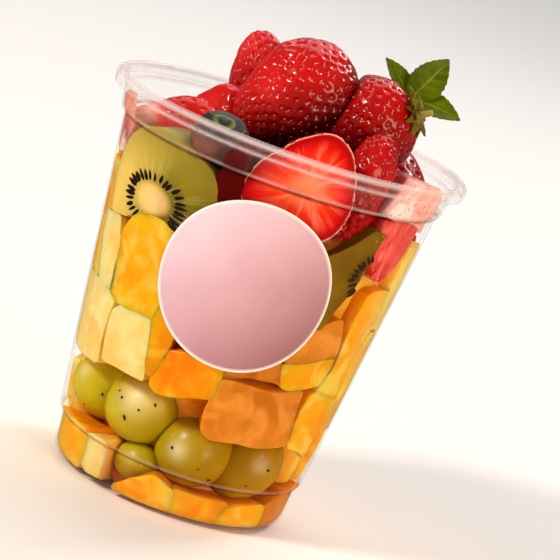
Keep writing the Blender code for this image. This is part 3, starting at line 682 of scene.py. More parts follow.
KIWI, out = begin("kiwi flesh")
place = put(KIWI, "Attribute", attribute_name="slice_place")
flat = put(KIWI, "VectorMath", {0: place.outputs["Vector"], 1: (1, 1, 0)}, operation="MULTIPLY")
spread = put(KIWI, "VectorMath", {0: flat.outputs["Vector"]}, operation="LENGTH")
way = put(KIWI, "VectorMath", {0: flat.outputs["Vector"]}, operation="NORMALIZE")
depth = put(KIWI, "VectorMath", {0: place.outputs["Vector"], 1: (0, 0, 0.5)}, operation="MULTIPLY")
turned = put(KIWI, "VectorMath", {0: way.outputs["Vector"], 1: (4.6, 4.6, 0)}, operation="MULTIPLY")
ray_place = put(KIWI, "VectorMath", {0: turned.outputs["Vector"], 1: depth.outputs["Vector"]}, operation="ADD")
share = put(KIWI, "MapRange", {"Value": spread.outputs["Value"], "From Min": 0.0, "From Max": 20.0})
tone = put(KIWI, "ValToRGB", {"Fac": share.outputs["Result"]}, [
    (0.0, "FFDC98"), (0.16, "F6CA7C"), (0.21, "D0A85A"), (0.245, "8C7C1C"), (0.36, "8C7E10"), (0.47, "AA941C"),
    (0.7, "BCA42C"), (0.88, "CEB038"), (0.97, "DCBC48")])
thin = put(KIWI, "TexNoise", {"Vector": ray_place.outputs["Vector"], "Scale": 2.4, "Detail": 3.0})
rays = put(KIWI, "ValToRGB", {"Fac": thin.outputs["Fac"]}, [(0.48, 0.0), (0.62, 1.0)])
ray_zone = put(KIWI, "ValToRGB", {"Fac": share.outputs["Result"]}, [
    (0.0, 0.0), (0.22, 0.0), (0.3, 0.6), (0.6, 0.45), (0.85, 0.15), (1.0, 0.0)])
ray_amount = put(KIWI, "Math", {0: rays.outputs["Color"], 1: ray_zone.outputs["Color"]}, operation="MULTIPLY")
sides = put(KIWI, "TexCoord")
sideways = put(KIWI, "SeparateXYZ", {"Vector": sides.outputs["Object"]})
# painted shade: browner and darker towards the cup's right side
right_side_shade = put(KIWI, "MapRange", {"Value": sideways.outputs["X"], "From Min": 0.0, "From Max": 0.02, "To Max": 0.9})
fewer = put(KIWI, "MapRange", {"Value": sideways.outputs["X"], "From Min": 0.0, "From Max": 0.02, "To Min": 1.0,
                               "To Max": 0.35})
ray_share = put(KIWI, "Math", {0: ray_amount.outputs[0], 1: fewer.outputs["Result"]}, operation="MULTIPLY")
lined = put(KIWI, "MixRGB", {"Fac": ray_share.outputs[0], "Color1": tone.outputs["Color"], "Color2": "DCCA72"})
object_place = put(KIWI, "TexCoord")
patch = put(KIWI, "TexNoise", {"Vector": object_place.outputs["Object"], "Scale": 90.0, "Detail": 3.0})
patches = put(KIWI, "ValToRGB", {"Fac": patch.outputs["Fac"]}, [(0.35, "C9C9B4"), (0.65, "FFFFFF")])
mottled = put(KIWI, "MixRGB", {"Fac": 0.8, "Color1": lined.outputs["Color"], "Color2": patches.outputs["Color"]},
              blend_type="MULTIPLY")
# painted light at the left, towards the lamp, and painted shade towards the right
sunny = put(KIWI, "MapRange", {"Value": sideways.outputs["X"], "From Min": -0.037, "From Max": -0.013})
lighting = put(KIWI, "ValToRGB", {"Fac": sunny.outputs["Result"]}, [(0.0, 0.85), (0.5, 0.0)])
lighter = put(KIWI, "MixRGB", {"Fac": lighting.outputs["Color"], "Color1": mottled.outputs["Color"],
                               "Color2": "FFD468"})
# painted shade towards the top of the slices
high = put(KIWI, "MapRange", {"Value": sideways.outputs["Z"], "From Min": 0.081, "From Max": 0.094, "To Max": 0.85})
top_shaded = put(KIWI, "MixRGB", {"Fac": high.outputs["Result"], "Color1": lighter.outputs["Color"],
                              "Color2": "9C8C2C"})
painted_side_shade = put(KIWI, "ValToRGB", {"Fac": sunny.outputs["Result"]}, [(0.3, "FFFFFF"), (1.0, "C2BAA0")])
side_shaded = put(KIWI, "MixRGB", {"Fac": 1.0, "Color1": top_shaded.outputs["Color"], "Color2": painted_side_shade.outputs["Color"]},
            blend_type="MULTIPLY")
colour = put(KIWI, "MixRGB", {"Fac": right_side_shade.outputs["Result"], "Color1": side_shaded.outputs["Color"],
                              "Color2": "F4D838"}, blend_type="MULTIPLY")
relief = put(KIWI, "Bump", {"Height": thin.outputs["Fac"], "Strength": 0.3, "Distance": 0.0005})
surface = put(KIWI, "BsdfPrincipled", {
    "Base Color": colour.outputs["Color"], "Roughness": 0.22, "Specular IOR Level": 0.15, "Normal": relief.outputs["Normal"],
    "Subsurface Weight": 0.3, "Subsurface Radius": (0.8, 1.0, 0.2), "Subsurface Scale": 0.002})
KIWI.node_tree.links.new(surface.outputs[0], out.inputs["Surface"])

KIWI_SEED, out = begin("kiwi seed")
place = put(KIWI_SEED, "TexCoord")
sideways = put(KIWI_SEED, "SeparateXYZ", {"Vector": place.outputs["Object"]})
browner = put(KIWI_SEED, "MapRange", {"Value": sideways.outputs["X"], "From Min": 0.0, "From Max": 0.02})
colour = put(KIWI_SEED, "MixRGB", {"Fac": browner.outputs["Result"], "Color1": "241206", "Color2": "38200A"})
surface = put(KIWI_SEED, "BsdfPrincipled", {"Base Color": colour.outputs["Color"], "Roughness": 0.45,
                                            "Specular IOR Level": 0.1})
KIWI_SEED.node_tree.links.new(surface.outputs[0], out.inputs["Surface"])


rng = random.Random(7)
for node, (angle, height, wide, tall) in KIWIS.items():
    slice_ = cut_piece(node, KIWI, rounding=3, uneven=0.25, cell=0.5, start=1.4, into=0.05)
    points = places(slice_)
    turns = np.arctan2(points[:, 0], -points[:, 1]) - math.radians(angle)
    turns = (turns + math.pi) % math.tau - math.pi
    flat_place = np.stack([turns * wall_middle(height) / wide, (points[:, 2] - height) / tall,
                           np.hypot(points[:, 0], points[:, 1])], axis=1)
    slot_ = slice_.data.attributes.new("slice_place", "FLOAT_VECTOR", "POINT")
    slot_.data.foreach_set("vector", flat_place.astype(np.float32).ravel())
    seeds = []
    for i in range(KIWI_SEEDS):
        a = math.tau * (i + rng.uniform(-0.18, 0.18)) / KIWI_SEEDS
        out_by = SEED_RING + rng.uniform(-0.4, 0.5)
        u, v = out_by * math.cos(a) * wide, out_by * math.sin(a) * tall
        z = height + v
        turn = angle + math.degrees(u / wall_middle(height))
        spot = around(turn, wall_middle(z) - 0.25, z)
        if np.min(((points - np.array(spot)) ** 2).sum(axis=1)) > 0.5:
            continue
        tangent = around(turn + 90, 1, 0)
        long_way = tangent * math.cos(a) * wide + Vector((0, 0, math.sin(a) * tall))
        seeds.append((spot, aim(long_way, around(turn, 1, 0)),
                      (rng.uniform(0.52, 0.76), 0.45, rng.uniform(1.4, 1.95) * long_way.length)))
    if seeds:
        join(slice_, ellipsoids("seeds", KIWI_SEED, seeds, 2))

# Strawberries: ripe whole berries with their seeds sunk in pits, heaped over the rim.


def berry_skin(name, tones, shade, pale=0.0, wet=1.0, wall_light_colour="FA7C68", lean=0.0):
    """Glossy red skin; shade is how far painted shade darkens it low down between its neighbours,
    pale how far it is painted paler and creamier close to the wall, as painted light, wet how
    strongly it shines, and lean how much further up that painted shade reaches on the right,
    where its neighbours stand close."""
    made, out = begin(name)
    place = put(made, "TexCoord")
    patch = put(made, "TexNoise", {"Vector": place.outputs["Object"], "Scale": 60.0, "Detail": 3.0})
    tone = put(made, "ValToRGB", {"Fac": patch.outputs["Fac"]}, list(zip((0.3, 0.55, 0.75), tones)))
    up = put(made, "SeparateXYZ", {"Vector": place.outputs["Object"]})
    sunk = put(made, "Math", {0: up.outputs["X"], 1: -lean, 2: up.outputs["Z"]}, operation="MULTIPLY_ADD")
    low = put(made, "MapRange", {"Value": sunk.outputs[0], "From Min": 0.121, "From Max": 0.104, "To Max": shade})
    # painted shade: the skin is mixed towards a near-black red low down, reaching further up on the right
    ripe = put(made, "MixRGB", {"Fac": low.outputs["Result"], "Color1": tone.outputs["Color"], "Color2": "340003"})
    # painted light: paler, creamier patches close to the wall
    level = put(made, "VectorMath", {0: place.outputs["Object"], 1: (1, 1, 0)}, operation="MULTIPLY")
    far = put(made, "VectorMath", {0: level.outputs["Vector"]}, operation="LENGTH")
    touching = put(made, "MapRange", {"Value": far.outputs["Value"], "From Min": 0.0345, "From Max": 0.037,
                                      "To Max": pale})
    wall_lit = put(made, "MixRGB", {"Fac": touching.outputs["Result"], "Color1": ripe.outputs["Color"],
                                   "Color2": "FF6E5A"})
    creamy = put(made, "MapRange", {"Value": far.outputs["Value"], "From Min": 0.036, "From Max": 0.039,
                                    "To Max": pale})
    light_patches = put(made, "ValToRGB", {"Fac": patch.outputs["Fac"]}, [(0.44, 0.1), (0.52, 1.0)])
    patchy_light = put(made, "Math", {0: creamy.outputs["Result"], 1: light_patches.outputs["Color"]}, operation="MULTIPLY")
    skin = put(made, "MixRGB", {"Fac": patchy_light.outputs[0], "Color1": wall_lit.outputs["Color"],
                                "Color2": wall_light_colour})
    surface = put(made, "BsdfPrincipled", {
        "Base Color": skin.outputs["Color"], "Roughness": 0.25, "Specular IOR Level": 0.1 * wet, "Subsurface Weight": 0.1,
        "Subsurface Radius": (1.0, 0.1, 0.08), "Subsurface Scale": 0.002, "Coat Weight": 0.5 * wet,
        "Coat Roughness": 0.04})
    made.node_tree.links.new(surface.outputs[0], out.inputs["Surface"])
    return made


# Copies of one skin with painted light and shade: the top one painted lighter as in full light, the one at the right
# painted darker as painted shade, and the one in shade painted near black.
BERRY = berry_skin("strawberry skin", ("AC0408", "D01212", "E62C26"), 1.0, lean=0.8)
SHADED_RIGHT_BERRY = berry_skin("strawberry skin at the right", ("980204", "B80606", "CC0C0A"), 0.8)
TOP_BERRY = berry_skin("strawberry skin in full light", ("BC0A0E", "DA1A1A", "EE3834"), 0.5)
LEFT_BERRY = berry_skin("strawberry pressed to the wall", ("A8080A", "C01210", "D62820"), 0.0, 0.9, 0.6, "FFE0CC")
WALL_BERRY = berry_skin("strawberry skin at the wall", ("8C0406", "AC0A0A", "C01414"), 0.0, wet=0.7)
DEEP_BERRY = berry_skin("strawberry skin in shade", ("420404", "5A0604", "74100A"), 0.0, 0.0, 0.1)
SEED, out = begin("strawberry seed")
surface = put(SEED, "BsdfPrincipled", {"Base Color": "DC9068", "Roughness": 0.25})
SEED.node_tree.links.new(surface.outputs[0], out.inputs["Surface"])


def pips(count):
    """Places for seeds, spread evenly over a unit ball in rows that spiral from tip to shoulder."""
    i = np.arange(count) + 0.5
    polar = np.arccos(1 - 2 * i / count)
    turn = math.pi * (1 + math.sqrt(5)) * i
    even = np.stack([np.cos(turn) * np.sin(polar), np.sin(turn) * np.sin(polar), np.cos(polar)], axis=1)
    strayed = even + np.random.default_rng(count).normal(size=even.shape) * 0.42 / math.sqrt(count)
    return strayed / np.linalg.norm(strayed, axis=1)[:, None]


def sink(points, normals, spots, depth, width):
    """Presses a round pit with a soft raised lip into the surface at each spot."""
    for spot in spots:
        d = np.linalg.norm(points - spot, axis=1)
        near = d < width * 2.2
        fall = np.exp(-(d[near] / width) ** 2 * 1.6) * depth
        lip = np.exp(-((d[near] - width * 1.25) / (width * 0.45)) ** 2) * depth * 0.22
        points[near] -= normals[near] * (fall - lip)[:, None]
    return points


def lumps(points, amount, size, seed):
    """A gentle unevenness of the given height and spacing, the same on each run."""
    draw = np.random.default_rng(seed)
    waves = draw.normal(size=(9, 3)) / size * 2.2
    phases = draw.uniform(0, math.tau, 9)
    return np.sin(points @ waves.T + phases).sum(axis=1) / 3 * amount


def seeds_on(berry, spots, ways, long_way, size=(0.2, 0.15, 0.38)):
    """One small drop-shaped seed lying in each pit, its point towards the shoulder."""
    mesh = bmesh.new()
    for spot, way in zip(spots, ways):
        out_way = Vector(way).normalized()
        turn = aim(Vector(long_way) - out_way * Vector(long_way).dot(out_way), out_way)
        seed = bmesh.ops.create_icosphere(mesh, subdivisions=1, radius=1)["verts"]
        for v in seed:
            x, y, z = v.co
            v.co = turn @ Vector((x * size[0] * (1 - 0.35 * z), y * size[1], z * size[2])) + Vector(spot)
            v.co *= MM
    made = bpy.data.meshes.new("seeds")
    mesh.to_mesh(made)
    mesh.free()
    thing = bpy.data.objects.new("seeds", made)
    bpy.context.scene.collection.objects.link(thing)
    made.materials.append(SEED)
    nothing_selected()
    thing.select_set(True)
    bpy.context.view_layer.objects.active = thing
    bpy.ops.object.shade_smooth()
    berry.select_set(True)
    bpy.context.view_layer.objects.active = berry
    bpy.ops.object.join()


def strawberry(node, centre, towards, size, taper=0.22, flat=0.92, seeds=300, detail=6, skin=BERRY, start=0.75,
               share=0.6):
    """A whole berry made fresh to its solid's size: skin, pits and seeds."""
    berry = ball(node + "_berry", detail)
    unit = places(berry)
    length, girth = size
    turn = np.array(aim(towards, (0, -1, 0)))

    def shaped(p):
        wide = girth / 2 * (1 + taper * p[:, 2])
        return np.stack([p[:, 0] * wide, p[:, 1] * wide * flat, p[:, 2] * length / 2], axis=1)

    def outward(p):
        scale = np.array([girth / 2, girth / 2 * flat, length / 2])
        n = p / scale
        n[:, 2] -= taper * 2 / length * (p[:, 0] ** 2 + p[:, 1] ** 2)
        return n / np.linalg.norm(n, axis=1)[:, None]

    dots = pips(seeds)
    points, normals = shaped(unit), outward(unit)
    spots, ways = shaped(dots), outward(dots)
    points = points + normals * lumps(points, 0.3, 6.0, len(node))[:, None]
    spots = spots + ways * lumps(spots, 0.3, 6.0, len(node))[:, None]
    points = sink(points, normals, spots, 0.55, 0.88)
    middle = np.array(centre, float)
    points = points @ turn.T + middle
    spots = (spots - ways * 0.44) @ turn.T + middle
    ways = ways @ turn.T
    before = points.copy()
    points = pressed(points, node, 1.4, share)
    points = press_to_wall(points, start, start * 2 + 1)
    keep = []
    for i, spot in enumerate(spots):
        nearest = np.argmin(((before - spot) ** 2).sum(axis=1))
        keep.append(np.linalg.norm(points[nearest] - before[nearest]) < (0.3 if start < 1 else 1.5))
    keep = np.array(keep)
    set_places(berry, points)
    nothing_selected()
    berry.select_set(True)
    bpy.context.view_layer.objects.active = berry
    bpy.ops.object.shade_smooth()
    berry.data.materials.append(skin)
    seeds_on(berry, spots[keep], ways[keep], towards)
    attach(berry, "root")
    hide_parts(node)
    return berry


strawberry("strawberry_middle", (-2.2, -7, 112), (20, 6, 24), (35, 27), seeds=430)
strawberry("strawberry_right", (16.6, -6, 110.8), (20, -6, 12.5), (30, 25), seeds=340, skin=SHADED_RIGHT_BERRY)
strawberry("strawberry_top_left", (-12.5, 12, 111), (-0.3, 0, 1), (26, 17), -0.12, 0.85, 170, 6, TOP_BERRY)
strawberry("strawberry_slice_left", (-28.5, -7, 93), (0.85, 0.1, 0.45), (27, 18), 0.1, 0.85, 130, 6, LEFT_BERRY, 4.0)
strawberry("strawberry_slice_inner", (-19, 0, 98.5), (0.6, 0, 0.8), (23, 17), 0.1, 0.85, 110, 5)
strawberry("strawberry_rim_right", (21.8, -26.3, 98), (0.12, 0.2, 1), (30, 13.5), 0.12, 1.0, 170, 6, WALL_BERRY, 1.6)
strawberry("strawberry_back", (4, 27, 101), (0.9, 0.3, 0.35), (34, 26), seeds=260, skin=WALL_BERRY)
strawberry("strawberry_back_left", (-26, 22, 87), (0.5, -0.6, 0.15), (32, 22), seeds=200, skin=WALL_BERRY)
strawberry("strawberry_back_right", (29, 12, 94), (-0.3, 0.9, 0.1), (32, 23), seeds=200, skin=WALL_BERRY)

# The halved strawberry at the front: cut lengthwise, its wet face to the wall and its rim over
# the edge. Pale rays run from the pith to the seeds; the skin is a thin line with seeds in notches,
# and a pale pink line round the cut face is partly the skin's edge and partly a painted wet highlight.

HALF_MIDDLE = (6.3, -40, 96.3)
HALF_LONG = (0.86, 0.1, 0.5)
HALF_FACING = (0.16, -1, 0.02)
HALF_PITH = (-1.5, 2.0)
HALF_OUTLINE = [(1, -15.4), (5, -12), (9.3, -3), (11.4, 4.5), (11.1, 10.4), (9, 13), (4.5, 14.7), (0.8, 14.5),
                (-5.8, 12.9), (-11.2, 10.5), (-14.7, 6.9), (-15.8, 2), (-14, -4), (-9.5, -9.5), (-3.5, -14)]
HALF_THICK = 10.5


def cut_face(name, pale, middle_tone, red, edge, ray):
    """Cut berry flesh: pale at the pith, red under the skin, with rays from one to the other."""
    made, out = begin(name)
    place = put(made, "Attribute", attribute_name="cut_place")
    flat = put(made, "VectorMath", {0: place.outputs["Vector"], 1: (1, 1, 0)}, operation="MULTIPLY")
    spread = put(made, "VectorMath", {0: flat.outputs["Vector"]}, operation="LENGTH")
    way = put(made, "VectorMath", {0: flat.outputs["Vector"]}, operation="NORMALIZE")
    object_place = put(made, "TexCoord")
    wander = put(made, "VectorMath", {0: object_place.outputs["Object"], 1: (40, 40, 40)}, operation="MULTIPLY")
    turned = put(made, "VectorMath", {0: way.outputs["Vector"], 1: (2.2, 2.2, 0)}, operation="MULTIPLY")
    ray_place = put(made, "VectorMath", {0: turned.outputs["Vector"], 1: wander.outputs["Vector"]}, operation="ADD")
    # The last two stops paint a pale pink line round the edge: partly the skin's edge, partly a painted wet highlight.
    tone = put(made, "ValToRGB", {"Fac": spread.outputs["Value"]}, [
        (0.0, pale), (0.16, pale), (0.46, middle_tone), (0.76, red), (0.92, edge), (0.968, edge), (0.984, "F08A78"),
        (1.0, "FFC4B4")])
    thin = put(made, "TexNoise", {"Vector": ray_place.outputs["Vector"], "Scale": 2.6, "Detail": 3.0})
    rays = put(made, "ValToRGB", {"Fac": thin.outputs["Fac"]}, [(0.46, 0.0), (0.68, 0.9)])
    zone = put(made, "ValToRGB", {"Fac": spread.outputs["Value"]}, [(0.1, 0.2), (0.3, 0.75), (0.65, 0.4), (0.9, 0.0)])
    amount = put(made, "Math", {0: rays.outputs["Color"], 1: zone.outputs["Color"]}, operation="MULTIPLY")
    lined = put(made, "MixRGB", {"Fac": amount.outputs[0], "Color1": tone.outputs["Color"], "Color2": ray})
    hollow = put(made, "SeparateXYZ", {"Vector": place.outputs["Vector"]})
    colour = put(made, "MixRGB", {"Fac": hollow.outputs["Z"], "Color1": lined.outputs["Color"], "Color2": "D8340F"})
    grain = put(made, "TexNoise", {"Vector": object_place.outputs["Object"], "Scale": 500.0, "Detail": 3.0})
    relief = put(made, "Bump", {"Height": thin.outputs["Fac"], "Strength": 0.3, "Distance": 0.0006})
    relief2 = put(made, "Bump", {"Height": grain.outputs["Fac"], "Strength": 0.12, "Distance": 0.0003,
                                 "Normal": relief.outputs["Normal"]})
    surface = put(made, "BsdfPrincipled", {
        "Base Color": colour.outputs["Color"], "Roughness": 0.3, "Specular IOR Level": 0.06,
        "Normal": relief2.outputs["Normal"], "Subsurface Weight": 0.3,
        "Subsurface Radius": (1.0, 0.25, 0.1), "Subsurface Scale": 0.002})
    made.node_tree.links.new(surface.outputs[0], out.inputs["Surface"])
    return made


HALF_FLESH = cut_face("halved strawberry flesh", "FF8C5C", "F43C14", "DC0E04", "AC0406", "FFA482")
half_berry = ball("halved_strawberry", 6)
unit = places(half_berry)
outline = np.array(HALF_OUTLINE) - np.array(HALF_PITH)
angles = np.arctan2(outline[:, 1], outline[:, 0])
order = np.argsort(angles)
steps = np.linspace(-math.pi, math.pi, 721)
radii = np.interp(steps, angles[order], np.hypot(outline[order, 0], outline[order, 1]), period=math.tau)
soft = np.convolve(np.concatenate([radii[-41:-1], radii, radii[1:41]]), np.hanning(41) / np.hanning(41).sum(), "same")
soft = soft[40:-40]


def halved(p):
    """Unit ball points as the half berry: +Y becomes the cut face, -Y the round skin."""
    share = np.hypot(p[:, 0], p[:, 2])
    turn = np.arctan2(p[:, 2], p[:, 0])
    reach = np.interp(turn, steps, soft)
    x = share * reach * np.cos(turn) + HALF_PITH[0]
    z = share * reach * np.sin(turn) + HALF_PITH[1]
    y = np.where(p[:, 1] > 0, 0.35 * (1 - share ** 4), p[:, 1] * HALF_THICK)
    return np.stack([x, y, z], axis=1)


def to_segment(points, a, b):
    a, b = np.array(a, float), np.array(b, float)
    t = np.clip(((points - a) @ (b - a)) / ((b - a) @ (b - a)), 0, 1)
    return np.linalg.norm(points - a - t[:, None] * (b - a), axis=1)


shape = halved(unit)
face = unit[:, 1] > 0
flat = shape[:, [0, 2]]
hollow = np.exp(-(to_segment(flat, (-0.6, -3.2), (-4.0, 1.9)) / 0.55) ** 2)
hollow += 0.8 * np.exp(-(to_segment(flat, (5.1, 4.6), (5.5, 5.4)) / 0.5) ** 2)
hollow[~face] = 0
shape[:, 1] -= hollow * 0.5
dots = pips(330)
dots = dots[dots[:, 1] < 0.06]
spots = halved(dots)
ways = dots * np.array([1 / 13, 1 / HALF_THICK, 1 / 15])
ways[:, 1] = np.minimum(ways[:, 1], 0)
ways /= np.linalg.norm(ways, axis=1)[:, None]
normals = unit * np.array([1 / 13, 1 / HALF_THICK, 1 / 15])
normals /= np.linalg.norm(normals, axis=1)[:, None]
sunk = sink(shape.copy(), normals, spots, 0.42, 0.85)
shape = np.where(face[:, None] & (np.hypot(unit[:, 0], unit[:, 2]) < 0.985)[:, None], shape, sunk)
turn = np.array(aim(HALF_LONG, HALF_FACING))
mark = half_berry.data.attributes.new("cut_place", "FLOAT_VECTOR", "POINT")
cut_place = np.stack([unit[:, 0], unit[:, 2], np.clip(hollow, 0, 1)], axis=1)
mark.data.foreach_set("vector", cut_place.astype(np.float32).ravel())
middle = np.array(HALF_MIDDLE, float)
set_places(half_berry, press_to_wall(shape @ turn.T + middle, 0.75, 2.0, 0.35))
half_berry.data.materials.append(WALL_BERRY)
half_berry.data.materials.append(HALF_FLESH)
middles = np.array([unit[list(f.vertices), 1].mean() for f in half_berry.data.polygons])
half_berry.data.polygons.foreach_set("material_index", (middles > 0.02).astype(np.int32))
nothing_selected()
half_berry.select_set(True)
bpy.ops.object.shade_smooth()
rim_turns = np.linspace(-math.pi, math.pi, 26, endpoint=False) + np.random.default_rng(4).uniform(-0.09, 0.09, 26)
rim_unit = np.stack([np.cos(rim_turns), np.full(26, 0.001), np.sin(rim_turns)], axis=1)
rim_spots = halved(rim_unit * np.array([0.985, 1, 0.985]))
rim_spots[:, 1] = 0.0
spots = np.concatenate([spots - ways * 0.3, rim_spots])
ways = np.concatenate([ways, rim_unit + np.array([0, 0.6, 0])])
seeds_on(half_berry, spots @ turn.T + middle, ways @ turn.T, HALF_LONG, (0.24, 0.2, 0.42))
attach(half_berry, "root")
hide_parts("strawberry_half_front")

# Other cut strawberry: a wedge at the right, hazy pieces pressed to the neck, and more behind.

CUT = flesh("cut strawberry flesh", ("F0483A", "FF8068"), ("E0342A", "FF6A54"), "FFC8B0", "FFB4A0", "C41C14",
            380.0, 0.4, 0.2, "F2604C", 0.55)
CREAM = flesh("pale strawberry heart", ("F8B89C", "FFE4CC"), ("EE8474", "FFE8DC"), "FFFDF8", "E8604E", "E4584A",
              300.0, 0.4, 0.2, "F8B8A4", 0.8, 0.4)
CORAL = flesh("coral strawberry flesh", ("E8382E", "FF6A54"), ("C8141A", "F04A3C"), "FFA894", "F8705E", "A80A12",
              430.0, 0.4, 0.24, "F06458", 0.75)
for node, look in (("strawberry_wedge_right", CREAM), ("strawberry_wall_left", CUT), ("strawberry_wall_right", CORAL)):
    cut_piece(node, look, rounding=3, uneven=0.5, cell=0.45)


def scatter(piece, count, seed, size=(0.22, 0.16, 0.42)):
    """Lays seeds on the side of a piece that faces out of the cup, the same on each run."""
    points = places(piece)
    normals = np.empty(len(points) * 3, np.float32)
    piece.data.vertices.foreach_get("normal", normals)
    normals = normals.reshape(-1, 3)
    away = points * np.array([1, 1, 0]) / np.maximum(np.hypot(points[:, 0], points[:, 1]), 1)[:, None]
    outside = np.flatnonzero((normals * away).sum(axis=1) > 0.45)
    chosen = np.random.default_rng(seed).choice(outside, count * 6, replace=False)
    kept = []
    for i in chosen:
        if all(np.linalg.norm(points[i] - points[k]) > 2.2 for k in kept):
            kept.append(i)
    kept = kept[:count]
    seeds_on(piece, points[kept], normals[kept], (0, 0, 1), size)


for node, count in (("strawberry_wedge_right", 26), ("strawberry_wall_right", 22), ("strawberry_wall_left", 14)):
    scatter(bpy.data.objects[node + "_flesh"], count, len(node))
for node, look in (("strawberry_behind_label", DEEP_BERRY), ("strawberry_back_wall", WALL_BERRY)):
    cut_piece(node, look, rounding=8, uneven=1.2, grow=1.2)
scatter(bpy.data.objects["strawberry_back_wall_flesh"], 60, 8)

# The dark berry: a round black-green berry with the pointed crown of its flower end.

DARK_ANGLE = -27
DARK_HEIGHT = 99.3
DARK_RADIUS = 7.5
CROWN_WAY = (-0.05, -0.45, 1)

DARK, out = begin("dark berry skin")
place = put(DARK, "Attribute", attribute_name="crown_place")
off = put(DARK, "VectorMath", {0: place.outputs["Vector"]}, operation="LENGTH")
# painted light: below the crown the skin is painted reddish brown, red light thrown on it by the strawberries round it
green = put(DARK, "ValToRGB", {"Fac": off.outputs["Value"]}, [
    (0.0, "34400C"), (0.2, "12140A"), (0.36, "6A7428"), (0.46, "0E0E06"), (0.78, "221410"), (1.0, "84483A")])
object_place = put(DARK, "TexCoord")
patch = put(DARK, "TexNoise", {"Vector": object_place.outputs["Object"], "Scale": 160.0, "Detail": 4.0})
bloom = put(DARK, "ValToRGB", {"Fac": patch.outputs["Fac"]}, [(0.45, 0.0), (0.75, 0.35)])
colour = put(DARK, "MixRGB", {"Fac": bloom.outputs["Color"], "Color1": green.outputs["Color"], "Color2": "887868"})
surface = put(DARK, "BsdfPrincipled", {"Base Color": colour.outputs["Color"], "Roughness": 0.4,
                                       "Specular IOR Level": 0.1, "Coat Weight": 0.1, "Coat Roughness": 0.15})
DARK.node_tree.links.new(surface.outputs[0], out.inputs["Surface"])
dark = ball("dark_berry", 6)
unit = places(dark)
off = np.hypot(unit[:, 0], unit[:, 1])
turns = np.arctan2(unit[:, 1], unit[:, 0])
top = unit[:, 2] > 0
star = 0.33 + 0.14 * np.cos(5 * turns)
dimple = np.where(top, 0.17 * smooth_step((star - off) / 0.12 + 0.5), 0)
points_of_crown = np.where(top, 0.09 * np.exp(-((off - star - 0.06) / 0.055) ** 2) * (0.6 + 0.4 * np.cos(5 * turns)), 0)
shape = unit * DARK_RADIUS
shape[:, 2] = shape[:, 2] * 0.92 + (points_of_crown - dimple) * DARK_RADIUS
mark = dark.data.attributes.new("crown_place", "FLOAT_VECTOR", "POINT")
crown_place = np.stack([np.where(top, off, 1.0), 0 * off, 0 * off], axis=1)
mark.data.foreach_set("vector", crown_place.astype(np.float32).ravel())
turned = shape @ np.array(aim(CROWN_WAY, (0, -1, 0))).T
turned += np.array(around(DARK_ANGLE, wall_inside(DARK_HEIGHT) - 1.6 - DARK_RADIUS, DARK_HEIGHT))
set_places(dark, press_to_wall(pressed(turned, "dark_berry_front"), 1.2, 3.0, 0.4))
nothing_selected()
dark.select_set(True)
bpy.ops.object.shade_smooth()
dark.data.materials.append(DARK)
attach(dark, "root")
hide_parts("dark_berry_front")

# The calyx of the right-hand strawberry: withered sepals, curled back round the stalk's stub.

LEAVES = [
    ((-0.86, 0.0, 0.72), (0.6, -0.9, 0.3), 12.4, 5.6, 0.6),
    ((0.46, 0.1, 0.95), (0.1, -1.0, 0.1), 14.5, 9.5, 0.8),
    ((0.99, -0.1, -0.06), (0.0, -0.75, 0.65), 14.5, 7.6, 0.9),
]
MINT_JOINT = Vector((26.6, 3.5, 120.9))
LEAF_THICKNESS = 0.35


def leaf_green(name, dark_green, light_green, vein_colour):
    made, out = begin(name)
    place = put(made, "Attribute", attribute_name="leaf_place")
    parts = put(made, "SeparateXYZ", {"Vector": place.outputs["Vector"]})
    object_place = put(made, "TexCoord")
    patch = put(made, "TexNoise", {"Vector": object_place.outputs["Object"], "Scale": 260.0, "Detail": 3.0})
    tone = put(made, "ValToRGB", {"Fac": patch.outputs["Fac"]}, [(0.35, dark_green), (0.68, light_green)])
    colour = put(made, "MixRGB", {"Fac": parts.outputs["Z"], "Color1": tone.outputs["Color"], "Color2": vein_colour})
    surface = put(made, "BsdfPrincipled", {
        "Base Color": colour.outputs["Color"], "Roughness": 0.36, "Specular IOR Level": 0.07, "Subsurface Weight": 0.25,
        "Subsurface Radius": (0.4, 1.0, 0.1), "Subsurface Scale": 0.001, "Coat Weight": 0.05, "Coat Roughness": 0.3})
    made.node_tree.links.new(surface.outputs[0], out.inputs["Surface"])
    return made


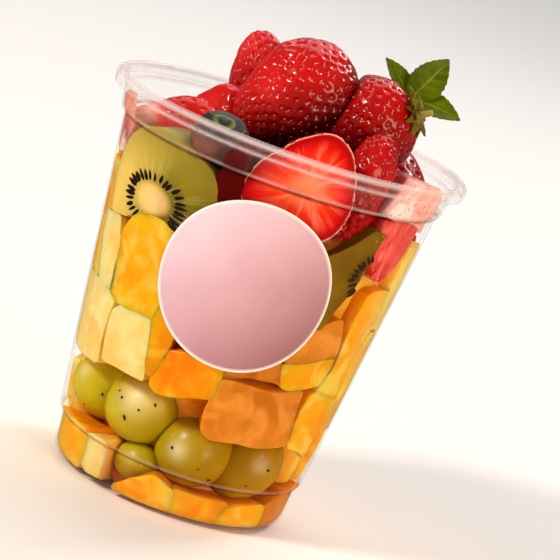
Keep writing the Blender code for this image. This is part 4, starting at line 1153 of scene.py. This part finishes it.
def leaf(name, base, towards, up, length, width, curl, teeth, droop=0.0, veins=6):
    """One leaf grown from a grid: pointed outline with teeth, folded midrib and sunken side veins."""
    nothing_selected()
    bpy.ops.mesh.primitive_grid_add(x_subdivisions=36, y_subdivisions=60, size=2)
    made = bpy.context.object
    made.name = name
    made.data.name = name
    flat = places(made) * MM
    v, t = flat[:, 0], (flat[:, 1] + 1) / 2
    half_width = width / 2 * np.sin(math.pi * (0.04 + 0.96 * t) ** 0.85) ** 0.8
    half_width *= 1 + 0.07 * teeth * (np.abs((t * 9) % 1 - 0.5) * 2 - 0.5)
    half_width = np.where(t >= 0.999, 0.03, np.maximum(half_width, 0.3 * (t < 0.1)))
    along = Vector(towards).normalized()
    side = along.cross(Vector(up)).normalized()
    lift = side.cross(along)
    side_vein = np.cos((t * veins - np.abs(v) * 1.1) * math.tau)
    groove = np.exp(-(v / 0.07) ** 2) + 0.45 * smooth_step((side_vein - 0.86) / 0.14) * (np.abs(v) < 0.85) * 0.55
    rise = curl * np.sin(math.pi * t) + np.abs(v) * half_width * 0.28 - droop * t ** 2
    rise -= 0.05 * side_vein + 0.16 * np.exp(-(v / 0.08) ** 2)
    points = (np.array(base) + np.outer(t * length, np.array(along)) + np.outer(v * half_width, np.array(side))
              + np.outer(rise, np.array(lift)))
    set_places(made, points)
    mark = made.data.attributes.new("leaf_place", "FLOAT_VECTOR", "POINT")
    mark.data.foreach_set("vector", np.stack([v, t, np.clip(groove, 0, 1) * 0.7], axis=1).astype(np.float32).ravel())
    bpy.ops.object.mode_set(mode="EDIT")
    bpy.ops.mesh.select_all(action="SELECT")
    bpy.ops.mesh.remove_doubles(threshold=0.00002)
    bpy.ops.object.mode_set(mode="OBJECT")
    apply(made, "SOLIDIFY", thickness=LEAF_THICKNESS * MM, offset=0)
    bpy.ops.object.shade_smooth()
    return made


SEPAL = leaf_green("withered sepal", "54480E", "8C7622", "C8A850")
calyx_middle = Vector((28.7, -9.6, 118.4))
calyx_way = Vector((20, -6, 12.5)).normalized()
calyx = None
for i in range(14):
    a = math.tau * i / 14 + rng.uniform(-0.2, 0.2)
    across = aim(calyx_way, (0, -1, 0)) @ Vector((math.cos(a), math.sin(a), 0))
    sepal = leaf("sepal", calyx_middle + across * 0.8, across + calyx_way * rng.uniform(-0.1, 0.4), calyx_way,
                 rng.uniform(4.2, 7.2), rng.uniform(2.4, 3.6), rng.uniform(0.1, 0.9), 0, rng.uniform(-1.0, 2.2), 3)
    sepal.data.materials.append(SEPAL)
    if calyx:
        join(calyx, sepal)
    else:
        calyx = sepal
nothing_selected()
bpy.ops.mesh.primitive_cone_add(vertices=16, radius1=1.1 * MM, radius2=0.8 * MM, depth=5.5 * MM,
                                location=(calyx_middle + calyx_way * 2.4) * MM,
                                rotation=calyx_way.to_track_quat("Z", "Y").to_euler())
stalk = bpy.context.object
bpy.ops.object.mode_set(mode="EDIT")
bpy.ops.mesh.select_all(action="SELECT")
bpy.ops.mesh.bevel(offset=0.2 * MM, segments=2)
bpy.ops.object.mode_set(mode="OBJECT")
bpy.ops.object.transform_apply(location=True, rotation=True, scale=True)
bpy.ops.object.shade_smooth()
STALK = leaf_green("cut strawberry stalk", "A89440", "C8B866", "D8CC88")
stalk.data.materials.append(STALK)
join(calyx, stalk)
calyx.name = "strawberry_calyx"
calyx.data.name = "strawberry_calyx"
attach(calyx, "root")

# Mint: a sprig of three fresh leaves on a short stem, stuck in beside the strawberry.

MINT = leaf_green("fresh mint leaf", "465A00", "607000", "9CA024")
sprig = None
for towards, up, length, width, curl in LEAVES:
    blade = leaf("blade", MINT_JOINT, towards, up, length, width, curl, 1)
    blade.data.materials.append(MINT)
    if sprig:
        join(sprig, blade)
    else:
        sprig = blade
sprig.name = "mint_leaves"
sprig.data.name = "mint_leaves"
stem_way = Vector((-0.35, 0.55, -0.6)).normalized()
nothing_selected()
bpy.ops.mesh.primitive_cylinder_add(vertices=16, radius=0.8 * MM, depth=5.5 * MM,
                                    location=(MINT_JOINT + stem_way * 2.2) * MM,
                                    rotation=stem_way.to_track_quat("Z", "Y").to_euler())
stem = bpy.context.object
bpy.ops.object.mode_set(mode="EDIT")
bpy.ops.mesh.select_all(action="SELECT")
bpy.ops.mesh.bevel(offset=0.25 * MM, segments=3)
bpy.ops.object.mode_set(mode="OBJECT")
bpy.ops.object.transform_apply(location=True, rotation=True, scale=True)
bpy.ops.object.shade_smooth()
stem.data.materials.append(MINT)
join(sprig, stem)
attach(sprig, "root")
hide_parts("mint_sprig")

# The mixed fruit in the middle, which shows only through the gaps: small dice of mango and melon
# and their juice, so that the gaps between the outer pieces look full.

core = copied("mixed_fruit", "fruit_core")
apply(core, "REMESH", mode="VOXEL", voxel_size=1.0 * MM)
points = places(core)
z = points[:, 2]
depth = np.interp(z, [0, 3, 12, 30, 36, 84, 95], [5, 5, 9, 8, 2.6, 2.6, 14])
aside = np.abs(np.degrees(np.arctan2(points[:, 0], -points[:, 1])))
side_depth = np.interp(z, [0, 3, 84, 95], [1.0, 0.5, 0.5, 14])
blend = smooth_step((aside - 66) / 10)
depth = depth * (1 - blend) + side_depth * blend
r = np.hypot(points[:, 0], points[:, 1])
outer = np.maximum(wall_inside(z) - 0.3 - 13.5, 1)
new = np.where(r > outer * 0.75, (r / outer) * (wall_inside(z) - depth), r)
points[:, 0] *= new / np.maximum(r, 1e-6)
points[:, 1] *= new / np.maximum(r, 1e-6)
set_places(core, points)
apply(core, "REMESH", mode="VOXEL", voxel_size=0.8 * MM)
apply(core, "DISPLACE", strength=0.9 * MM, mid_level=0.6, texture=clouds, texture_coords="LOCAL")
bpy.ops.object.shade_smooth()
MIXED, out = begin("mixed fruit and juice")
place = put(MIXED, "TexCoord")
patch = put(MIXED, "TexNoise", {"Vector": place.outputs["Object"], "Scale": 130.0, "Detail": 3.0})
parts = put(MIXED, "SeparateXYZ", {"Vector": place.outputs["Object"]})
up = put(MIXED, "MapRange", {"Value": parts.outputs["Z"], "From Min": 0.078, "From Max": 0.086})
yellow = put(MIXED, "ValToRGB", {"Fac": patch.outputs["Fac"]}, [(0.35, "D86A02"), (0.5, "F08C08"), (0.65, "FFAC24")])
# painted shade: above the neck the mixed fruit is a dark strawberry red, painted as if deep in shade
red = put(MIXED, "ValToRGB", {"Fac": patch.outputs["Fac"]}, [(0.35, "3A0206"), (0.65, "7C0A0C")])
aside = put(MIXED, "Math", {0: parts.outputs["X"]}, operation="ABSOLUTE")
# painted highlight: paler yellow towards the cup's left and right edges, where the wall's glare lies
side = put(MIXED, "MapRange", {"Value": aside.outputs[0], "From Min": 0.024, "From Max": 0.031, "To Max": 0.9})
yellow = put(MIXED, "MixRGB", {"Fac": side.outputs["Result"], "Color1": yellow.outputs["Color"],
                               "Color2": "FACA48"})
colour = put(MIXED, "MixRGB", {"Fac": up.outputs["Result"], "Color1": yellow.outputs["Color"],
                               "Color2": red.outputs["Color"]})
surface = put(MIXED, "BsdfPrincipled", {
    "Base Color": colour.outputs["Color"], "Roughness": 0.25, "Specular IOR Level": 0.15, "Subsurface Weight": 0.5,
    "Subsurface Radius": (1.0, 0.5, 0.15), "Subsurface Scale": 0.003})
MIXED.node_tree.links.new(surface.outputs[0], out.inputs["Surface"])
core.data.materials.append(MIXED)
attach(core, "root")
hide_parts("fruit_core", "mango_small")
